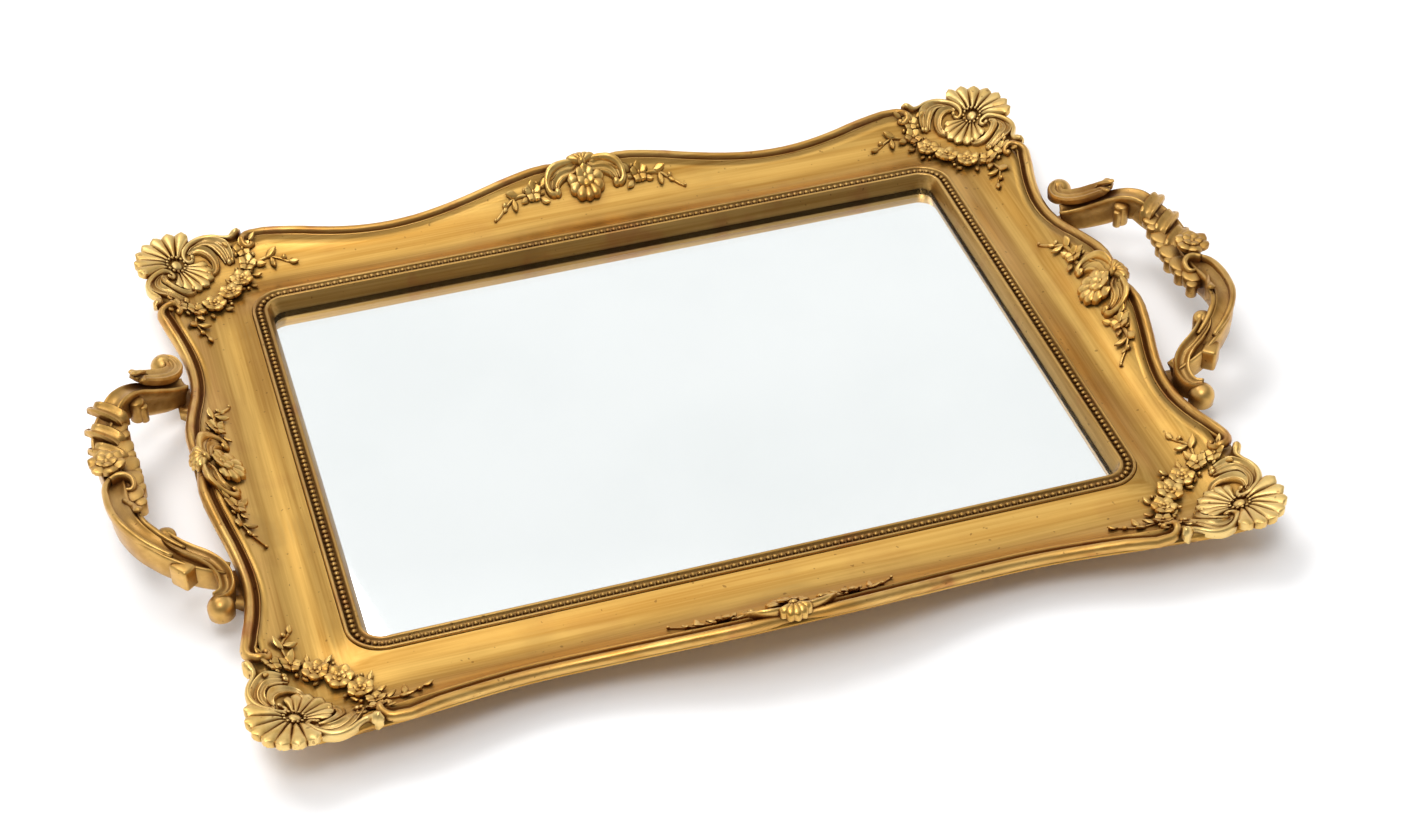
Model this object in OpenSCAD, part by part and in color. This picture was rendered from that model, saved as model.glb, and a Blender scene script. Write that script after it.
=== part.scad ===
// Dresser vanity tray: mirror tray with a swept gilt moulding, applied ornament and two cast handles.
// The tray stands on z = 0, centred on the Z axis, with its long sides along X. Near is -Y, far is +Y.

/* [Sight edge] */
// Length of the beaded line round the glass
sight_l = 304; // [240:1:400]
// Width of the beaded line round the glass
sight_w = 217; // [180:1:300]
// Corner radius of the beaded line
sight_r = 11; // [8:0.5:16]
// Width of the beaded band
bead_band = 6.4; // [5:0.2:8]
// Height of the inner wall above the glass
wall_h = 6.5; // [5:0.5:10]
// How far the inner wall leans in over the glass
wall_lean = 2.2; // [1:0.2:4]
// Thickness of the liner's hidden flange
flange_t = 1.5; // [1:0.1:2]
// Width of the liner's hidden flange
flange_w = 3.8; // [3:0.2:5]

/* [Swept moulding] */
// Reach of the long sides past the beaded line, at their crests
long_reach = 43.4; // [38:0.2:52]
// Depth of the sweep in the long sides
long_sweep = 8.8; // [0:0.2:11]
// Reach of the short sides past the beaded line, at their crests
short_reach = 42.4; // [38:0.2:52]
// Depth of the sweep in the short sides
short_sweep = 7.2; // [0:0.2:10]
// Height of the middle crests above the beads
crest_rise = 10; // [4:0.5:14]
// Height of the horns beside the corners above the beads
horn_rise = 6.8; // [3:0.2:12]
// Height of the rim above the beads where the sweep is deepest
dip_rise = 2.2; // [1:0.2:6]
// Height of the rim above the beads at the corners
corner_rise = 4.2; // [0:0.2:6]
// Pull on the hollow, which sets how deep it is
hollow_pull = 9.5; // [7:0.5:11]
// Least thickness of the moulding under the hollow
moulding_t = 2.5; // [2:0.1:5]
// Width of the roll along the outer edge
roll_w = 6.5; // [5:0.1:8]
// Height of the roll above its ledge
roll_h = 3.6; // [3:0.1:5]
// Thickness of the outer edge under the roll
edge_t = 1.2; // [0.8:0.1:3]

/* [Base and glass] */
// Thickness of the glass
glass_t = 3; // [2:0.1:4]
// Thickness of the silvering and its paint
coat_t = 0.2; // [0.1:0.05:0.4]
// Thickness of the packing sheet
packing_t = 1.3; // [0.5:0.1:2]
// Thickness of the backing board
board_t = 3; // [2.5:0.1:5]
// How far the backing board laps under the base frame
board_lap = 9.7; // [8:0.1:11]
// Width of the base frame
base_w = 10.7; // [9.5:0.1:12]
// Diameter of the felt pads
pad_d = 20; // [12:1:26]
// Thickness of the felt pads
pad_t = 2; // [1:0.1:3]
// Distance of the felt pads from the corners of the beaded line
pad_inset = 14; // [12:1:30]

/* [Handles] */
// Distance between the middles of the two roots of a handle
handle_span = 112; // [100:1:130]
// How far the middle of the strap stands out from the rim
handle_reach = 36.8; // [33:0.2:46]
// Width of the strap
strap_w = 8.6; // [7:0.2:10]
// Depth of the strap
strap_h = 11; // [9:0.5:13]
// Height of the strap's top above the beads at its roots
root_rise = 4; // [3:0.2:6]
// Rise of the strap from its roots to its shoulders
handle_rise = 14.5; // [6:0.5:16]
// Sag of the strap between its shoulders
handle_sag = 6; // [0:0.5:8]
// Diameter of the ball ends
ball_d = 10.5; // [8:0.5:12]
// Width of the tongues and of the ears that they are screwed to
tongue_w = 14; // [12:0.5:18]
// Thickness of the tongues
tongue_t = 3; // [2.5:0.1:4]

/* [Fasteners] */
// Shank diameter of the board screws
board_screw_d = 3; // [2:0.1:3.5]
// Shank diameter of the handle screws
handle_screw_d = 4; // [3:0.1:4.5]
// Diameter of a countersunk head, in shank diameters
head_ratio = 1.9; // [1.6:0.1:2.1]
// Radial clearance round a screw's shank
screw_gap = 0.1; // [0.05:0.05:0.3]

/* [Ornament] */
// Glue line under the applied ornament
glue_gap = 0.15; // [0.1:0.05:0.3]
// Clearance between parts that drop into each other
drop_gap = 0.2; // [0.1:0.05:0.4]
// Height of the shells and scrolls above the moulding
relief_h = 4.2; // [3:0.2:6]
// Distance of the corner bosses in from the crests of the rim, both ways
boss_inset = 14.1; // [10:0.1:19]
// Reach of the corner shells past their bosses
shell_reach = 17; // [12:0.5:20]
// Radius of the garlands round their bosses
garland_r = 29; // [26:0.5:31]
// Height of the roses and leaves above the moulding
garland_h = 3.6; // [2.5:0.1:5]

/* [Hidden] */
$fn = 48;
eps = 0.01;
gilt = [0.78, 0.62, 0.3];
pale_gilt = [0.86, 0.73, 0.43];
dark_gilt = [0.6, 0.44, 0.18];

// Heights above the table, from the pads up
board_z = pad_t;
packing_z = board_z + board_t;
coat_z = packing_z + packing_t;
glass_z = coat_z + coat_t;
glass_top = glass_z + glass_t;
bead_z = glass_top + wall_h;

// The bead line: half lengths, and the centres of its corner arcs
half_l = sight_l / 2;
half_w = sight_w / 2;
arc_x = half_l - sight_r;
arc_y = half_w - sight_r;

// Distances out from the bead line
band = bead_band / 2;
lip_in = band + drop_gap;
flange_out = band + flange_w;
rebate = flange_out + drop_gap;
base_out = rebate + base_w;
board_out = rebate + board_lap;
board_screw_out = (rebate + board_out) / 2;

// The hollow starts just outside the bead band and stops short of the roll
hollow_in = lip_in + 1.2;
hollow_start = -1.5;
hollow_end = -1.6;
roll_gap = 0.1;
seat_z = bead_z - hollow_pull / 2 - 0.5 - moulding_t;
base_t = seat_z - packing_z;

// Stations round a quarter of the moulding: short side, corner, long side
short_n = 18;
corner_n = 14;
long_n = 26;
quarter_n = short_n + corner_n + long_n;
hump_at = 0.13;
long_dip_at = 0.585;
long_horn_at = 0.97;
short_hump_at = 0.18;
short_dip_at = 0.6;
short_horn_at = 0.98;
sweep_power = 0.65;
corner_power = 8;
// The rolls stop this far round the corner arcs, in degrees
roll_stop = 14;

function mix(a, b, t) = a + (b - a) * t;
function clamp01(t) = max(0, min(1, t));
function swell(t) = pow(0.5 - 0.5 * cos(180 * clamp01(t)), sweep_power);
// 0 on a crest of the sweep and 1 in its dip, at a share of the half side
function sweep_at(s, hump, dip, horn) =
    s < dip ? swell((s - hump) / (dip - hump)) : swell((horn - s) / (horn - dip));
function crest_height(s, dip, depth) =
    mix(s < dip ? crest_rise : horn_rise, dip_rise, depth);

// Rim of a side at distance s from its middle: [reach past the bead line, height above the beads]
function long_rim(s) =
    let (u = s / half_l, k = sweep_at(u, hump_at, long_dip_at, long_horn_at))
    [long_reach - long_sweep * k, crest_height(u, long_dip_at, k)];
function short_rim(s) =
    let (u = s / half_w, k = sweep_at(u, short_hump_at, short_dip_at, short_horn_at))
    [short_reach - short_sweep * k, crest_height(u, short_dip_at, k)];
// Rim round a corner, at an angle from the short side's end
function corner_rim(a) =
    let (x = short_rim(arc_y)[0] + sight_r, y = long_rim(arc_x)[0] + sight_r,
        r = pow(pow(cos(a) / x, corner_power) + pow(sin(a) / y, corner_power), -1 / corner_power),
        ends = mix(short_rim(arc_y)[1], long_rim(arc_x)[1], a / 90))
    [r - sight_r, mix(ends, corner_rise, sin(2 * a))];

// Height of the hollow above the beads at distance w from the bead line
function hollow(w, rim) =
    let (t = clamp01((w - hollow_in) / (rim[0] - roll_w - hollow_in)))
    pow(1 - t, 2) * hollow_start - 2 * t * (1 - t) * hollow_pull + t * t * (rim[1] + hollow_end);

// A plan point's own ray: [distance from the bead line, rim]
function ray_of(x, y) =
    let (ax = abs(x), ay = abs(y))
    ax <= arc_x ? [ay - half_w, long_rim(ax)]
    : ay <= arc_y ? [ax - half_l, short_rim(ay)]
    : [norm([ax - arc_x, ay - arc_y]) - sight_r, corner_rim(atan2(ay - arc_y, ax - arc_x))];
// Where the rolls have stopped, the edge of the moulding is the end of the hollow
function bare_edge(x, y) =
    let (a = atan2(abs(y) - arc_y, abs(x) - arc_x))
    abs(x) > arc_x && abs(y) > arc_y && a > roll_stop && a < 90 - roll_stop;
// Top of the moulding, or of the roll, under a plan point
function ground(x, y) =
    let (r = ray_of(x, y), w = r[0], rim = r[1])
    bead_z + glue_gap + (w < rim[0] - roll_w ? hollow(w, rim)
        : rim[1] + (bare_edge(x, y) ? hollow_end : 0));

// Stations: [x, y, outward x, outward y, rim, 1 where a roll sits on the edge]
function short_station(i) =
    let (y = arc_y * i / short_n) [half_l, y, 1, 0, short_rim(y), 1];
function long_station(i) =
    let (x = arc_x * (1 - i / long_n)) [x, half_w, 0, 1, long_rim(x), 1];
function corner_station(a, roll) =
    [arc_x + sight_r * cos(a), arc_y + sight_r * sin(a), cos(a), sin(a), corner_rim(a), roll];
quarter = concat(
    [for (i = [0:short_n]) short_station(i)],
    [corner_station(roll_stop, 1), corner_station(roll_stop + eps, 0)],
    [for (i = [1:corner_n - 1]) corner_station(mix(roll_stop, 90 - roll_stop, i / corner_n), 0)],
    [corner_station(90 - roll_stop - eps, 0), corner_station(90 - roll_stop, 1)],
    [for (i = [0:long_n]) long_station(i)]);
function backwards(l) = [for (i = [len(l) - 1:-1:0]) l[i]];
function flip(s, fx, fy) = [s[0] * fx, s[1] * fy, s[2] * fx, s[3] * fy, s[4], s[5]];
last = len(quarter) - 1;
ring = concat(
    [for (i = [0:last - 1]) quarter[i]],
    [for (i = [last:-1:1]) flip(quarter[i], -1, 1)],
    [for (i = [0:last - 1]) flip(quarter[i], -1, -1)],
    [for (i = [last:-1:1]) flip(quarter[i], 1, -1)]);

// Section of the moulding at a station, as [distance out, height above the table], round from the lip
hollow_steps = 9;
// Underside: how far it is level past the base frame, and where it turns up to the outer edge
seat_past = 2;
edge_in = 4;
edge_slope = 1;
function moulding_section(s) =
    let (rim = s[4], out = rim[0], top = bead_z + rim[1], end = out - roll_w,
        ledge = s[5] == 1 ? top - roll_h : top + hollow_end - eps)
    concat([[lip_in, bead_z + hollow_start + 0.4]],
        [for (i = [0:hollow_steps]) let (w = mix(hollow_in, end, i / hollow_steps))
            [w, bead_z + hollow(w, rim)]],
        [[end + eps, ledge], [out - 0.5, ledge - (1 - s[5]) * 0.3], [out - 0.5, top - roll_h - edge_t],
        [out - edge_in, top - roll_h - edge_t - edge_slope], [base_out + seat_past, seat_z], [rebate, seat_z],
        [rebate, glass_top + flange_t + drop_gap], [lip_in, glass_top + flange_t + drop_gap]]);
// Section of the roll
roll_shape = [[0, 0], [0, 0.5], [0.14, 0.74], [0.34, 0.93], [0.56, 1], [0.78, 0.88], [0.93, 0.6],
    [1, 0.22], [0.97, 0]];
function roll_section(s) =
    let (rim = s[4], start = rim[0] - roll_w + roll_gap, z = bead_z + rim[1] - roll_h)
    [for (p = roll_shape) [start + p[0] * (roll_w - roll_gap), z + p[1] * roll_h]];

function place(s, p) = [s[0] + s[2] * p[0], s[1] + s[3] * p[0], p[1]];

// Skin of sections that all have the same number of points, closed round or capped at both ends
module skin(sections, closed = false) {
    n = len(sections);
    m = len(sections[0]);
    spans = closed ? n : n - 1;
    sides = [for (i = [0:spans - 1], j = [0:m - 1])
        let (a = i * m, b = ((i + 1) % n) * m, k = (j + 1) % m) [a + j, a + k, b + k, b + j]];
    quads = [for (q = sides, h = [0, 1]) h == 0 ? [q[0], q[1], q[2]] : [q[0], q[2], q[3]]];
    caps = closed ? [] : [[for (j = [m - 1:-1:0]) j], [for (j = [0:m - 1]) (n - 1) * m + j]];
    polyhedron([for (s = sections, p = s) p], concat(quads, caps), convexity = 6);
}

// Sweeps a flat section, drawn as (distance out, height), round the bead line
module round_the_glass() {
    for (turn = [0, 180]) rotate(turn) {
        translate([half_l, arc_y, 0]) rotate([90, 0, 0]) linear_extrude(2 * arc_y) children();
        translate([-arc_x, half_w, 0]) rotate([90, 0, 90]) linear_extrude(2 * arc_x) children();
        translate([arc_x, arc_y, 0]) rotate_extrude(angle = 90)
            translate([sight_r, 0]) children();
        translate([-arc_x, arc_y, 0]) rotate(90) rotate_extrude(angle = 90)
            translate([sight_r, 0]) children();
    }
}
// Flat shape of the bead line, grown outwards
module sight_shape(out) {
    square([2 * (half_l + out), 2 * arc_y], center = true);
    square([2 * arc_x, 2 * (half_w + out)], center = true);
    for (fx = [-1, 1], fy = [-1, 1]) translate([fx * arc_x, fy * arc_y]) circle(sight_r + out);
}

// Moulding and rolls
module cove_moulding() color(gilt)
    skin([for (s = backwards(ring)) [for (p = moulding_section(s)) place(s, p)]], true);
module roll(stations) color(gilt) skin([for (s = stations) [for (p = roll_section(s)) place(s, p)]]);
// A roll runs from one corner's stop to the next, so it takes the rolled stations of two quarters
short_half = [for (i = [0:short_n + 1]) quarter[i]];
long_half = [for (i = [last:-1:last - long_n - 1]) quarter[i]];
function whole_side(half, fx, fy) =
    concat([for (i = [len(half) - 1:-1:1]) flip(half[i], fx, fy)], half);
module short_roll() roll(backwards(whole_side(short_half, 1, -1)));
module long_roll() roll(whole_side(long_half, -1, 1));
module rim_roll_far() long_roll();
module rim_roll_near() rotate(180) long_roll();
module rim_roll_right() short_roll();
module rim_roll_left() rotate(180) short_roll();

// Inner wall, band for the beads, and the flange under the moulding's lip
module bead_liner() color(dark_gilt) round_the_glass() polygon([
    [-band - wall_lean, glass_top], [-band, bead_z - 0.9], [-band + 0.5, bead_z - 0.1], [-band + 1.1, bead_z],
    [-band + 1.6, bead_z - 0.5], [-1.2, bead_z - 0.9], [1.2, bead_z - 0.9], [band - 1.5, bead_z - 0.5],
    [band - 0.9, bead_z], [band - 0.2, bead_z - 0.3], [band, bead_z - 0.9],
    [band, glass_top + flange_t], [flange_out, glass_top + flange_t], [flange_out, glass_top]]);

// What lies behind the sight edge
module layer(z, t) translate([0, 0, z]) linear_extrude(t) sight_shape(flange_out - drop_gap);
module mirror_glass() color([0.9, 0.92, 0.92]) layer(glass_z, glass_t);
module mirror_silvering() color("silver") layer(coat_z, coat_t);
module packing_sheet() color("tan") layer(packing_z, packing_t);

// Board screws stand round the board, three to a long side and two to a short one
board_screw_at = concat(
    [for (x = [-1, 0, 1], f = [-1, 1]) [x * arc_x * 0.72, f * (half_w + board_screw_out)]],
    [for (y = [-1, 1], f = [-1, 1]) [f * (half_l + board_screw_out), y * arc_y * 0.5]]);
ear_l = 12.6;
ear_end = half_l + base_out + ear_l;
root_y = handle_span / 2;
handle_screw_at = [for (fx = [-1, 1], fy = [-1, 1]) [fx * (ear_end - ear_l / 2 + 0.4), fy * root_y]];

module base_frame() color("peru") translate([0, 0, packing_z]) difference() {
    linear_extrude(base_t) difference() {
        union() {
            sight_shape(base_out);
            for (fy = [-1, 1]) translate([0, fy * root_y]) square([2 * ear_end, tongue_w], center = true);
        }
        sight_shape(rebate);
    }
    for (p = board_screw_at) translate([p[0], p[1], -1])
        cylinder(h = base_t + 2, d = board_screw_d + 2 * screw_gap);
    for (p = handle_screw_at) translate([p[0], p[1], -1])
        cylinder(h = base_t + 2, d = handle_screw_d + 2 * screw_gap);
}
// Countersunk screw, head down, standing on z = 0
module screw(d, l) {
    head = d * head_ratio;
    cylinder(h = (head - d) / 2, d1 = head, d2 = d);
    cylinder(h = l, d = d);
}
module screw_hole(d, l) {
    head = d * head_ratio;
    translate([0, 0, -eps]) cylinder(h = (head - d) / 2 + eps, d1 = head + 2 * screw_gap, d2 = d + 2 * screw_gap);
    translate([0, 0, -eps]) cylinder(h = l, d = d + 2 * screw_gap);
}
module backing_board() color("saddlebrown") translate([0, 0, board_z]) difference() {
    linear_extrude(board_t) sight_shape(board_out);
    for (p = board_screw_at) translate(p) screw_hole(board_screw_d, board_t + 1);
}
module board_screws() color("gray") for (p = board_screw_at)
    translate([p[0], p[1], board_z]) screw(board_screw_d, board_t + base_t - 0.5);
module felt_pads() color("dimgray") for (fx = [-1, 1], fy = [-1, 1])
    translate([fx * (half_l - pad_inset), fy * (half_w - pad_inset), 0]) cylinder(h = pad_t, d = pad_d);

// Handle on the +X side: a strap bowed out from two roots that reach under the rim.
// It starts clear of the widest rim between the roots' near sides and the far sides of the balls.
ball_past = 15.5;
root_zone = [root_y - strap_w / 2, root_y + ball_past + ball_d / 2];
root_x = half_l + max([for (y = [root_zone[0]:1:root_zone[1] + 1]) short_rim(y)[0]]) + drop_gap;
strap_top = bead_z + root_rise;
tongue_z = packing_z - tongue_t;
strap_steps = 28;
// Sides of the cast lobes, petals and balls, which are flat-faced so that they join cleanly
cast_sides = 12;
// The strap bows out as half a rounded rectangle, squarer at its near end
far_bow = 0.68;
near_bow = 0.48;
function bow(a) = pow(sin(a), a < 90 ? mix(far_bow, 0.6, a / 90) : mix(0.6, near_bow, a / 90 - 1));
function strap_lift(a) = handle_rise * pow(sin(a), 0.45) - handle_sag * pow(sin(a), 6);
function strap_mid(a) = [root_x + handle_reach * bow(a), root_y * cos(a), strap_top + strap_lift(a)];
function strap_out(a) =
    let (b = strap_mid(max(0, a - 2)), c = strap_mid(min(180, a + 2)), v = [b[1] - c[1], c[0] - b[0]])
    a < 1 ? [0, 1] : a > 179 ? [0, -1] : v / norm(v);
// Point beside the strap: angle along it, distance outwards, drop below its top
function beside(a, out, drop) =
    let (m = strap_mid(a), o = strap_out(a)) [m[0] + o[0] * out, m[1] + o[1] * out, m[2] - drop];
module strap() skin([for (i = [0:strap_steps])
    let (a = 180 * i / strap_steps, w = strap_w / 2)
    [beside(a, -w, strap_h), beside(a, -w, 1.6), beside(a, -w * 0.45, 0), beside(a, w * 0.45, 0),
        beside(a, w, 1.6), beside(a, w, strap_h)]]);
module root(fy) {
    post = ear_end + drop_gap;
    // The leg stays under the moulding's underside, which rises from the base frame to the outer edge
    edge_under = bead_z + dip_rise - roll_h - edge_t - edge_slope;
    run = short_reach - short_sweep - edge_in - base_out - seat_past;
    under_rim = mix(seat_z, edge_under, (post - half_l - base_out - seat_past) / run) - 2 * drop_gap;
    translate([0, fy * root_y + tongue_w / 2, 0]) rotate([90, 0, 0]) linear_extrude(tongue_w) polygon([
        [half_l + base_out + drop_gap, tongue_z], [root_x - 1, tongue_z], [root_x + 5, strap_top - strap_h - 1.5],
        [root_x + 5, strap_top - strap_h + 2], [root_x, strap_top - strap_h + 2], [root_x, under_rim],
        [post, under_rim], [post, packing_z], [half_l + base_out + drop_gap, packing_z]]);
}
// Round post from the strap's underside up to its top: a lobe, a volute or a lug
module post_at(a, out, d, rise, h) translate(beside(a, out, h - rise)) cylinder(h = h, d = d, $fn = cast_sides);
module ball(fy) {
    r = ball_d / 2;
    translate([root_x + r + 0.8, fy * (root_y + ball_past), strap_top + 2 - r]) sphere(r, $fn = cast_sides);
    translate([root_x + 0.6, fy > 0 ? root_y + 2 : -root_y - 16, strap_top - strap_h + 4])
        cube([r + 1, 14, strap_h - 5]);
}
// Lug, stepped lobes, volute and web: angle along the strap, distance out, diameter, rise, height
lobes = concat([[40, -6, 7, -6, 5.5]],
    [for (a = [58, 70, 82]) [a, -strap_w * 0.36, 9, 0.6, strap_h - 1]],
    [[100, -strap_w * 0.5, 9.5, 0.8, strap_h - 1],
    [145, -8.2, 10, 0.4, strap_h - 2],
    [163, -1, 11.5, 0.8, strap_h + 1]]);
// Five-petal flower on the strap
flower_at = 88;
petal_out = 3.3;
petal_d = 4.8;
module handle() color(gilt) difference() {
    union() {
        strap();
        for (fy = [-1, 1]) root(fy);
        for (fy = [-1, 1]) ball(fy);
        for (l = lobes) post_at(l[0], l[1], l[2], l[3], l[4]);
        translate(beside(flower_at, 0, 0.5)) {
            for (k = [0:4]) rotate(72 * k) translate([petal_out, 0, 0])
                cylinder(h = 3, d = petal_d, $fn = cast_sides);
            cylinder(h = 4, d = 4, $fn = cast_sides);
        }
    }
    for (p = handle_screw_at) if (p[0] > 0)
        translate([p[0], p[1], tongue_z]) screw_hole(handle_screw_d, tongue_t + 1);
}
module handle_right() handle();
module handle_left() mirror([1, 0, 0]) handle();
module handle_screws() color("gray") for (p = handle_screw_at)
    translate([p[0], p[1], tongue_z]) screw(handle_screw_d, tongue_t + base_t - 0.5);

// Applied ornament. Undersides follow the moulding a glue line above it.
// Round patch about a centre, with a reach for each direction, and a height that falls towards its edge
rings = [0.4, 0.75, 1];
module patch(centre, reach, height, fall, lobes, n) {
    around = [for (j = [0:n - 1]) 360 * j / n];
    layer = [for (f = rings, a = around) centre + f * reach(a) * [cos(a), sin(a)]];
    tops = [for (i = [0:len(rings) - 1], a = around)
        height * (1 - fall * pow(rings[i], 2)) * (1 + 0.16 * cos(lobes * a))];
    count = len(layer);
    under = [for (p = layer) [p[0], p[1], ground(p[0], p[1])]];
    over = [for (k = [0:count - 1]) under[k] + [0, 0, tops[k]]];
    hub = [centre[0], centre[1], ground(centre[0], centre[1])];
    hubs = [hub, hub + [0, 0, height * 1.25]];
    quads = [for (i = [0:len(rings) - 2], j = [0:n - 1])
        let (k = (j + 1) % n) [i * n + j, i * n + k, (i + 1) * n + k, (i + 1) * n + j]];
    rim = (len(rings) - 1) * n;
    faces = concat(
        [for (q = quads) [q[0] + count, q[1] + count, q[2] + count]],
        [for (q = quads) [q[0] + count, q[2] + count, q[3] + count]],
        [for (q = quads) [q[0], q[2], q[1]]],
        [for (q = quads) [q[0], q[3], q[2]]],
        [for (j = [0:n - 1]) let (k = (j + 1) % n) [2 * count, j, k]],
        [for (j = [0:n - 1]) let (k = (j + 1) % n) [2 * count + 1, count + k, count + j]],
        [for (j = [0:n - 1]) let (k = (j + 1) % n) [rim + j, rim + count + j, rim + k]],
        [for (j = [0:n - 1]) let (k = (j + 1) % n) [rim + k, rim + count + j, rim + count + k]]);
    polyhedron(concat(under, over, hubs), faces, convexity = 6);
}
// Ribbon along stations of [x, y, half width, height]
across = [-1, -0.55, 0, 0.55, 1];
module ribbon(path) {
    n = len(path);
    skin([for (i = [0:n - 1])
        let (p = path[i], a = path[max(0, i - 1)], b = path[min(n - 1, i + 1)],
            v = [b[0] - a[0], b[1] - a[1]], o = [v[1], -v[0]] / norm(v) * p[2],
            under = [for (s = across) let (x = p[0] + o[0] * s, y = p[1] + o[1] * s)
                [x, y, ground(x, y)]])
        concat(under, [for (j = [4:-1:0])
            under[j] + [0, 0, p[3] * (1 - 0.6 * pow(across[j], 2))]])]);
}
// Copies a far right corner's or side's ornament to the side named by its signs
module to_side(fx, fy) {
    if (fx * fy > 0) rotate(fx > 0 ? 0 : 180) children();
    else mirror([fx < 0 ? 1 : 0, fy < 0 ? 1 : 0, 0]) children();
}

boss = [half_l + short_reach - boss_inset, half_w + long_reach - boss_inset];
function bump(a, at, width) = let (d = abs((a - at + 540) % 360 - 180)) exp(-pow(d / width, 2));
function shell_edge(a) = shell_reach * (0.93 + 0.07 * cos(20 * (a - 45)));
function cartouche_reach(a) = let (d = abs((a - 45 + 540) % 360 - 180))
    max(9, d < 64 ? shell_edge(a) : 0, 31 * bump(a, 158, 13), 31 * bump(a, 292, 13), 14 * bump(a, 225, 26));
module corner_cartouche(fx, fy) color(pale_gilt) to_side(fx, fy)
    patch(boss, function (a) cartouche_reach(a), relief_h, 0.2, 18, 72);
module corner_cartouche_fl() corner_cartouche(-1, 1);
module corner_cartouche_fr() corner_cartouche(1, 1);
module corner_cartouche_nl() corner_cartouche(-1, -1);
module corner_cartouche_nr() corner_cartouche(1, -1);

// The garland bends round its boss, with a sprig running out from each end
garland_from = 180;
garland_to = 270;
garland_steps = 14;
sprig_l = 22;
sprig_steps = 5;
function on_garland(a) = boss + garland_r * [cos(a), sin(a)];
function rose(k) = 0.85 + 0.15 * cos(360 * k * 2.5);
garland_path = concat(
    [for (i = [0:sprig_steps - 1]) let (t = i / sprig_steps, p = on_garland(garland_from))
        [p[0] - sprig_l * (1 - t), p[1] - 5 * (1 - t), 1.2 + 2.4 * t, garland_h * (0.4 + 0.4 * t)]],
    [for (i = [0:garland_steps]) let (t = i / garland_steps, p = on_garland(mix(garland_from, garland_to, t)))
        [p[0], p[1], 4.8 * rose(t), garland_h * rose(t)]],
    [for (i = [sprig_steps - 1:-1:0]) let (t = i / sprig_steps, p = on_garland(garland_to))
        [p[0] - 5 * (1 - t), p[1] - sprig_l * (1 - t), 1.2 + 2.4 * t, garland_h * (0.4 + 0.4 * t)]]);
module corner_garland(fx, fy) color(dark_gilt) to_side(fx, fy) ribbon(garland_path);
module corner_garland_fl() corner_garland(-1, 1);
module corner_garland_fr() corner_garland(1, 1);
module corner_garland_nl() corner_garland(-1, -1);
module corner_garland_nr() corner_garland(1, -1);

// Crest in the middle of a side, drawn for the far side: shell on the rim, scrolls, rosette below
long_crest_out = long_reach - 11.4;
short_crest_out = short_reach - 10.4;
crest_top = 10.5;
function crest_reach(a) = max(7, crest_top * bump(a, 90, 34), 17 * bump(a, 28, 16), 17 * bump(a, 152, 16),
    10 * bump(a, 270, 40));
module long_crest() color(pale_gilt)
    patch([0, half_w + long_crest_out], function (a) crest_reach(a), relief_h * 0.9, 0.5, 12, 48);
module short_crest() color(pale_gilt)
    patch([half_l + short_crest_out, 0], function (a) crest_reach(a + 90), relief_h * 0.9, 0.5, 12, 48);
module centre_crest_far() long_crest();
module centre_crest_near() rotate(180) long_crest();
module centre_crest_right() short_crest();
module centre_crest_left() rotate(180) short_crest();

// Spray beside a crest: distance along the side, distance out from the crest, half width, height
spray_from = 19;
spray_to = 43.5;
spray_steps = 10;
spray = [for (i = [0:spray_steps]) let (t = i / spray_steps)
    [mix(spray_from, spray_to, t), mix(-3, -9, t), mix(4.6, 1.1, t) * (1 - 0.3 * bump(t * 100, 45, 12)),
        garland_h * mix(0.9, 0.4, t)]];
module long_spray(fx, fy) color(dark_gilt) to_side(fx, fy)
    ribbon([for (p = spray) [p[0], half_w + long_crest_out + p[1], p[2], p[3]]]);
module short_spray(fx, fy) color(dark_gilt) to_side(fx, fy)
    ribbon([for (i = [spray_steps:-1:0]) let (p = spray[i])
        [half_l + short_crest_out + p[1], p[0], p[2], p[3]]]);
module spray_far_left() long_spray(-1, 1);
module spray_far_right() long_spray(1, 1);
module spray_near_left() long_spray(-1, -1);
module spray_near_right() long_spray(1, -1);
module spray_left_far() short_spray(-1, 1);
module spray_left_near() short_spray(-1, -1);
module spray_right_far() short_spray(1, 1);
module spray_right_near() short_spray(1, -1);

cove_moulding();
rim_roll_far();
rim_roll_near();
rim_roll_left();
rim_roll_right();
bead_liner();
mirror_glass();
mirror_silvering();
packing_sheet();
base_frame();
backing_board();
board_screws();
felt_pads();
handle_left();
handle_right();
handle_screws();
corner_cartouche_fl();
corner_cartouche_fr();
corner_cartouche_nl();
corner_cartouche_nr();
corner_garland_fl();
corner_garland_fr();
corner_garland_nl();
corner_garland_nr();
centre_crest_far();
centre_crest_near();
centre_crest_left();
centre_crest_right();
spray_far_left();
spray_far_right();
spray_near_left();
spray_near_right();
spray_left_far();
spray_left_near();
spray_right_far();
spray_right_near();
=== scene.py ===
# Dresser vanity tray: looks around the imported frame. Near is -Y, far is +Y and up is +Z, as in the frame.
# Sizes in the dictionaries are millimetres; mm turns them into metres.
import math

import bpy
import numpy as np
from mathutils import Matrix, Vector
from mathutils.bvhtree import BVHTree


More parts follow.
